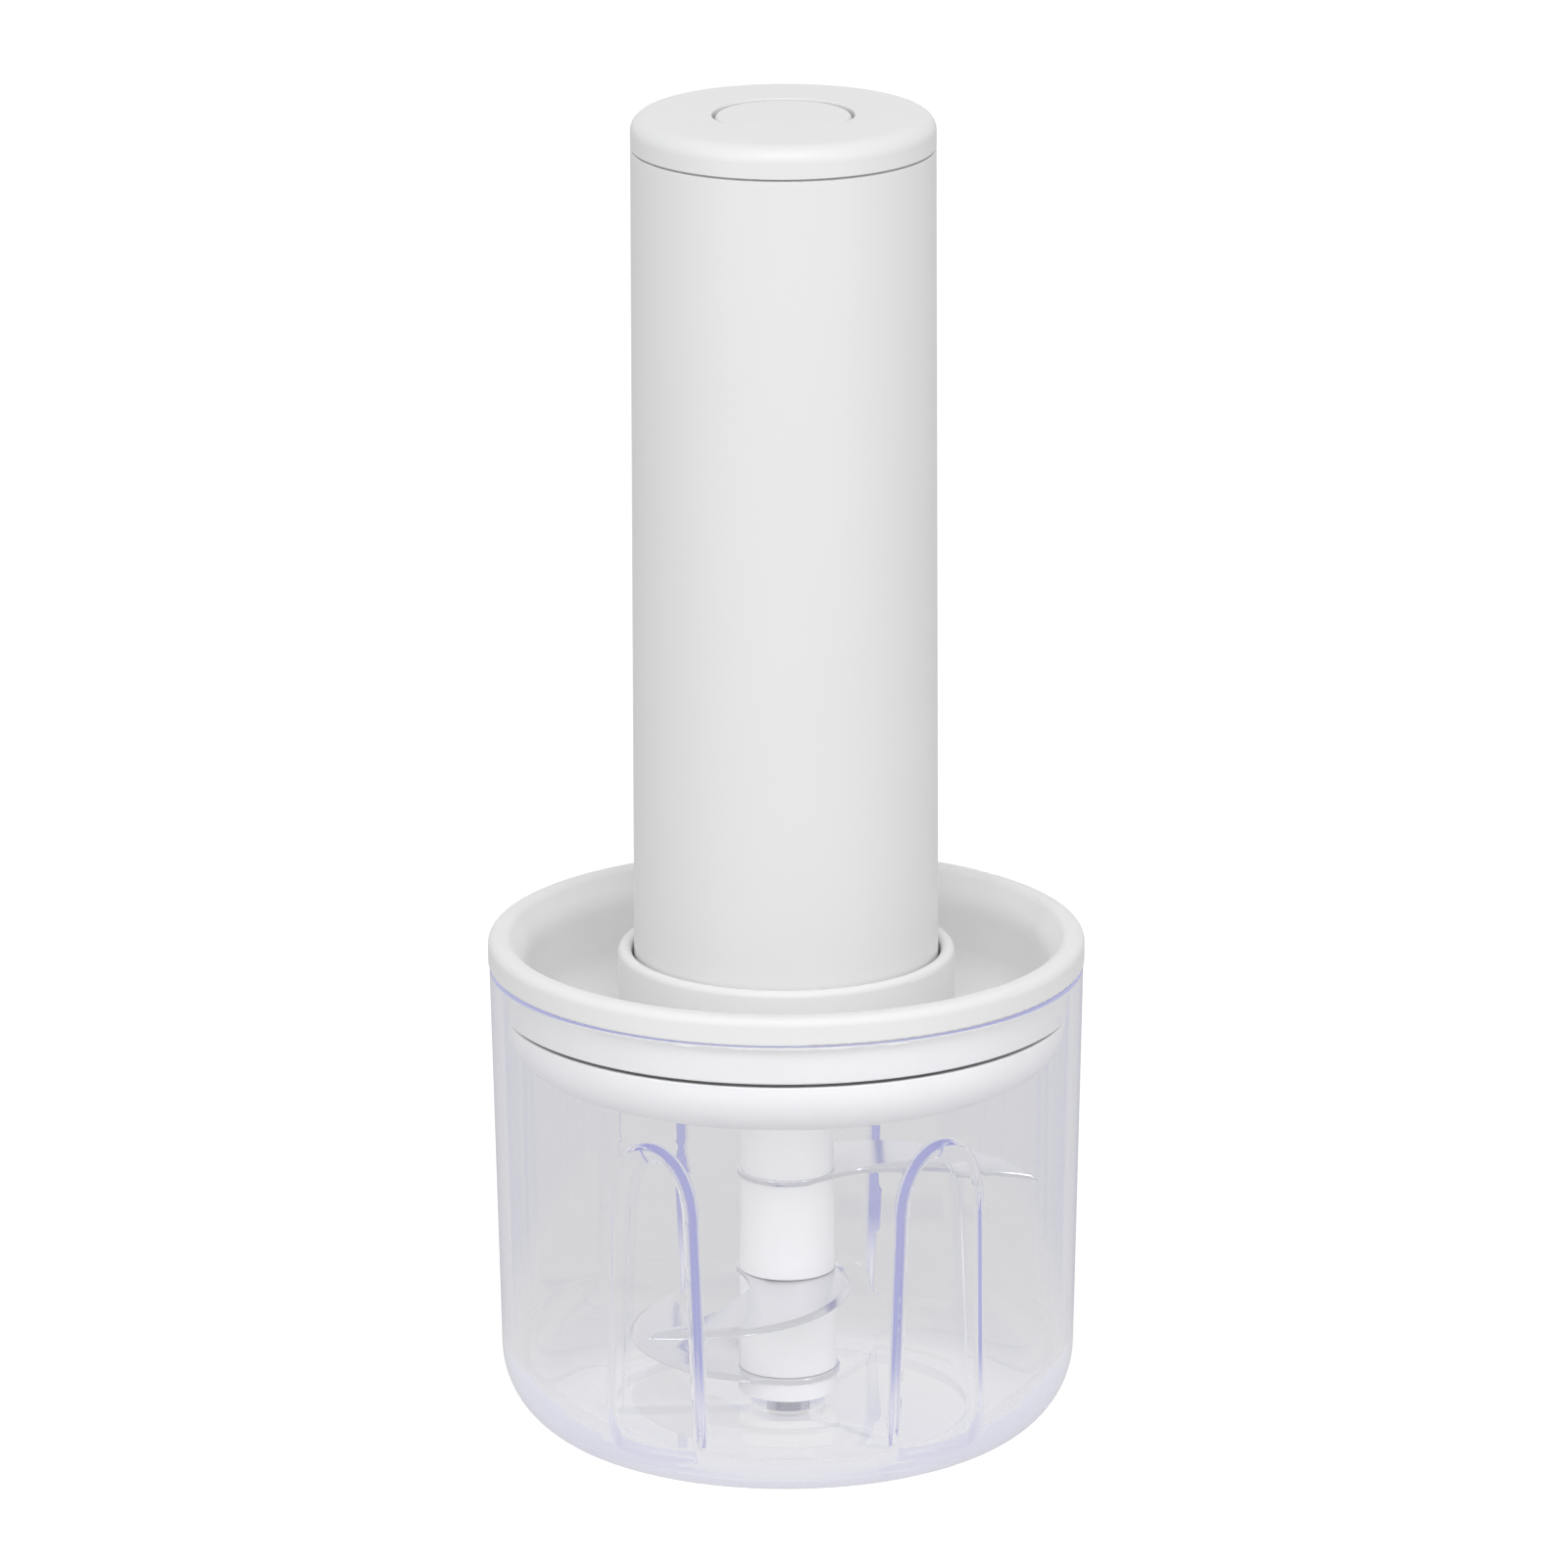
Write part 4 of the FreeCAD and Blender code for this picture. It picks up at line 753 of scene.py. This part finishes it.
@dataclass
class Lid(SubAssembly):
    """Dish lid with its bush and its soft seal ring."""

    body: Body = Body.LID
    finishes: dict[str, Finish] = field(default_factory=lambda: {"lid_dish": LID_PLASTIC, "lid_bush": ACETAL,
                                                                 "lid_seal": WHITE_SILICONE})
    seal_depth_mm: float = 1.45
    seal_round_mm: float = 0.45
    seal_round_steps: int = 5
    seal_crown_mm: float = 0.12
    seal_crown_shares: tuple[float, ...] = (0.2, 0.45, 0.7, 0.95)
    seal_face_cuts: int = 7
    seal_steps: int = 192
    # Size and place of the dark ring under the seal, which is painted shadow for the gap there.
    shadow_ring_height_mm: float = 0.4
    shadow_ring_sink_mm: float = 0.75
    shadow_ring_depth_mm: float = 1.1
    shadow_ring_round_mm: float = 0.08
    shadow_ring_round_steps: int = 2

    def model(self) -> None:
        """Model the seal as a soft ring with a crowned face, and under it a dark ring that is painted shadow
        for the gap below the seal.
        """
        self.model_ring()
        self.model_shadow_ring()

    def model_shadow_ring(self) -> None:
        """Model a dark ring under the seal as painted shadow: it draws the fine shadow line below the seal.
        """
        low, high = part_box("lid_seal")
        outer = high[0] - mm(self.shadow_ring_sink_mm)
        # The dark ring stands in for the shadow in the gap under the seal; its black rubber finish is painted
        # shadow.
        core = section("seal_shadow_ring", outer - mm(self.shadow_ring_depth_mm), outer,
                       low[2] - mm(self.shadow_ring_height_mm), low[2])
        bpy.ops.mesh.select_all(action="SELECT")
        bpy.ops.mesh.bevel(offset=mm(self.shadow_ring_round_mm), segments=self.shadow_ring_round_steps, affect="VERTICES")
        turn_section(self.seal_steps)
        self.mount(core, BLACK_NITRILE, "black_rubber")

    def model_ring(self) -> None:
        """Model the soft ring with rounded lips."""
        low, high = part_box("lid_seal")
        outer, low_z, high_z = high[0], low[2], high[2]
        ring = section("seal_ring", outer - mm(self.seal_depth_mm), outer, low_z, high_z)
        self.crown(ring, outer, (low_z + high_z) / 2, (high_z - low_z) / 2)
        turn_section(self.seal_steps)
        self.mount(ring, WHITE_SILICONE, "white_silicone", "lid_seal")

    def crown(self, ring: bpy.types.Object, outer: float, middle: float, half: float) -> None:
        """Round the section's outer corners and let its outer side bulge a little.

        Args:
            ring: The ring's section, in edit mode.
            outer: Radius of the outer side in metres.
            middle: Height of the section's middle.
            half: Half of its height.
        """
        face = outer - mm(ON_FACE_MM)
        ends = half - mm(ON_FACE_MM)
        pick_vertices(ring, lambda place: place.x > face)
        bpy.ops.mesh.subdivide(number_cuts=self.seal_face_cuts)
        pick_vertices(ring, lambda place: place.x > face and abs(place.z - middle) > ends)
        bpy.ops.mesh.bevel(offset=mm(self.seal_round_mm), segments=self.seal_round_steps, affect="VERTICES")
        outer_half = outer - mm(self.seal_depth_mm) / 2
        for share in self.seal_crown_shares:
            pick_vertices(ring, lambda place: place.x > outer_half and abs(place.z - middle) > half * share)
            bpy.ops.transform.translate(value=(-mm(self.seal_crown_mm) * share, 0, 0))


@dataclass
class BladeStack(SubAssembly):
    """Hub in three sections on a bush, with three sickle blades between them."""

    body: Body = Body.BLADES
    finishes: dict[str, Finish] = field(default_factory=lambda: {
        "hub_core": HUB_PLASTIC, "hub_upper_spacer": HUB_PLASTIC, "hub_lower_spacer": HUB_PLASTIC,
        "hub_foot": HUB_PLASTIC, "hub_bush": BRONZE, "upper_blade": BLADE_STEEL,
        "middle_blade": BLADE_STEEL, "lower_blade": BLADE_STEEL})
    burr_mm: float = 0.07
    burr_steps: int = 2
    burr_from_deg: float = 25.0

    def model(self) -> None:
        """Model each blade with the fine rolled edge that stamping and tumbling leave."""
        for node in ("upper_blade", "middle_blade", "lower_blade"):
            blade = copy_of_node(self.frame, node, node.replace("_blade", "_sickle"))
            soften_edges(blade, self.burr_mm, self.burr_steps, self.burr_from_deg)
            self.mount(blade, BLADE_STEEL, "blade_steel", node)


@dataclass
class MotorUnit(SubAssembly):
    """Tall round handle with the battery, the switch board and the motor inside."""

    body: Body = Body.MOTOR_UNIT
    finishes: dict[str, Finish] = field(default_factory=lambda: {
        "handle_shell": WHITE_ABS, "top_cap": WHITE_ABS, "bottom_cover": WHITE_ABS,
        "button_dome": WHITE_SILICONE, "switch_board": BOARD_RESIST, "tact_switch": BLACK_ABS,
        "charge_socket": TURNED_STEEL, "battery_cell": CELL_FILM, "battery_cradle": BLACK_ABS,
        "battery_tabs": NICKEL_STRIP, "lead_wires": RED_SLEEVE, "motor_can": ZINC_STEEL,
        "motor_mount": BLACK_ABS, "motor_screws": TURNED_STEEL, "motor_magnets": FERRITE,
        "motor_end_cap": BLACK_ABS, "motor_brushes": CARBON, "motor_terminals": BRASS_STRIP,
        "motor_bearings": BRONZE, "cover_screws": TURNED_STEEL, "shaft_seal": BLACK_NITRILE})
    dome_edge_mm: float = 0.15
    dome_edge_steps: int = 3
    dome_edge_from_deg: float = 30.0
    dome_keep: float = 0.8

    def model(self) -> None:
        """Model the soft dome under the button, with softened edges."""
        dome = copy_of_node(self.frame, "button_dome", "button_spring_dome")
        soften_edges(dome, self.dome_edge_mm, self.dome_edge_steps, self.dome_edge_from_deg)
        self.mount(dome, WHITE_SILICONE, "white_silicone", "button_dome")
        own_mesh(dome)


@dataclass
class ChargeFlap(SubAssembly):
    """Soft cover over the charging socket at the back of the handle."""

    body: Body = Body.CHARGE_FLAP
    finishes: dict[str, Finish] = field(default_factory=lambda: {"charge_cover": WHITE_SILICONE})
    edge_mm: float = 0.3
    edge_steps: int = 3
    edge_from_deg: float = 30.0
    lip_width_mm: float = 5.0
    lip_thickness_mm: float = 0.9
    lip_depth_mm: float = 1.65
    lip_proud_mm: float = 0.55
    lip_drop_mm: float = 1.4
    lip_round_mm: float = 0.36
    lip_round_steps: int = 4

    def model(self) -> None:
        """Model the flap with soft edges and a finger lip along its upper edge."""
        flap = copy_of_node(self.frame, "charge_cover", "charge_flap_cover")
        soften_edges(flap, self.edge_mm, self.edge_steps, self.edge_from_deg)
        lip = self.finger_lip()
        begin_piece()
        lip.select_set(True)
        flap.select_set(True)
        bpy.context.view_layer.objects.active = flap
        bpy.ops.object.join()
        self.mount(flap, WHITE_SILICONE, "white_silicone", "charge_cover")

    def finger_lip(self) -> bpy.types.Object:
        """Small rounded bar that a fingernail lifts.

        Returns:
            The bar, sunk into the flap's face near its upper edge.
        """
        low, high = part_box("charge_cover")
        centre = ((low[0] + high[0]) / 2, high[1] + mm(self.lip_proud_mm - self.lip_depth_mm / 2),
                  high[2] - mm(self.lip_drop_mm))
        begin_piece()
        bpy.ops.mesh.primitive_cube_add(size=1.0, location=centre)
        lip = bpy.context.object
        lip.scale = (mm(self.lip_width_mm), mm(self.lip_depth_mm), mm(self.lip_thickness_mm))
        bpy.ops.object.transform_apply(location=True, rotation=True, scale=True)
        soften_edges(lip, self.lip_round_mm, self.lip_round_steps, self.edge_from_deg)
        return lip


@dataclass
class Button(SubAssembly):
    """Round push button in the cap."""

    body: Body = Body.BUTTON
    finishes: dict[str, Finish] = field(default_factory=lambda: {"power_button": WHITE_ABS})


@dataclass
class Rotor(SubAssembly):
    """Shaft, armature, commutator and the hexagonal dog that drives the hub."""

    body: Body = Body.ROTOR
    finishes: dict[str, Finish] = field(default_factory=lambda: {
        "rotor_shaft": TURNED_STEEL, "armature_core": CORE_STEEL, "armature_windings": COPPER_WIRE,
        "commutator": COPPER_WIRE, "drive_coupling": ACETAL})


def main() -> None:
    """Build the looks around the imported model."""
    logging.basicConfig(level=logging.INFO, format="%(name)s: %(message)s")
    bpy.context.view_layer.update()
    Studio().build()
    for kind in (Bowl, Lid, BladeStack, MotorUnit, ChargeFlap, Button, Rotor):
        kind(FRAME).build()


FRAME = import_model()

if __name__ == "__main__":
    main()
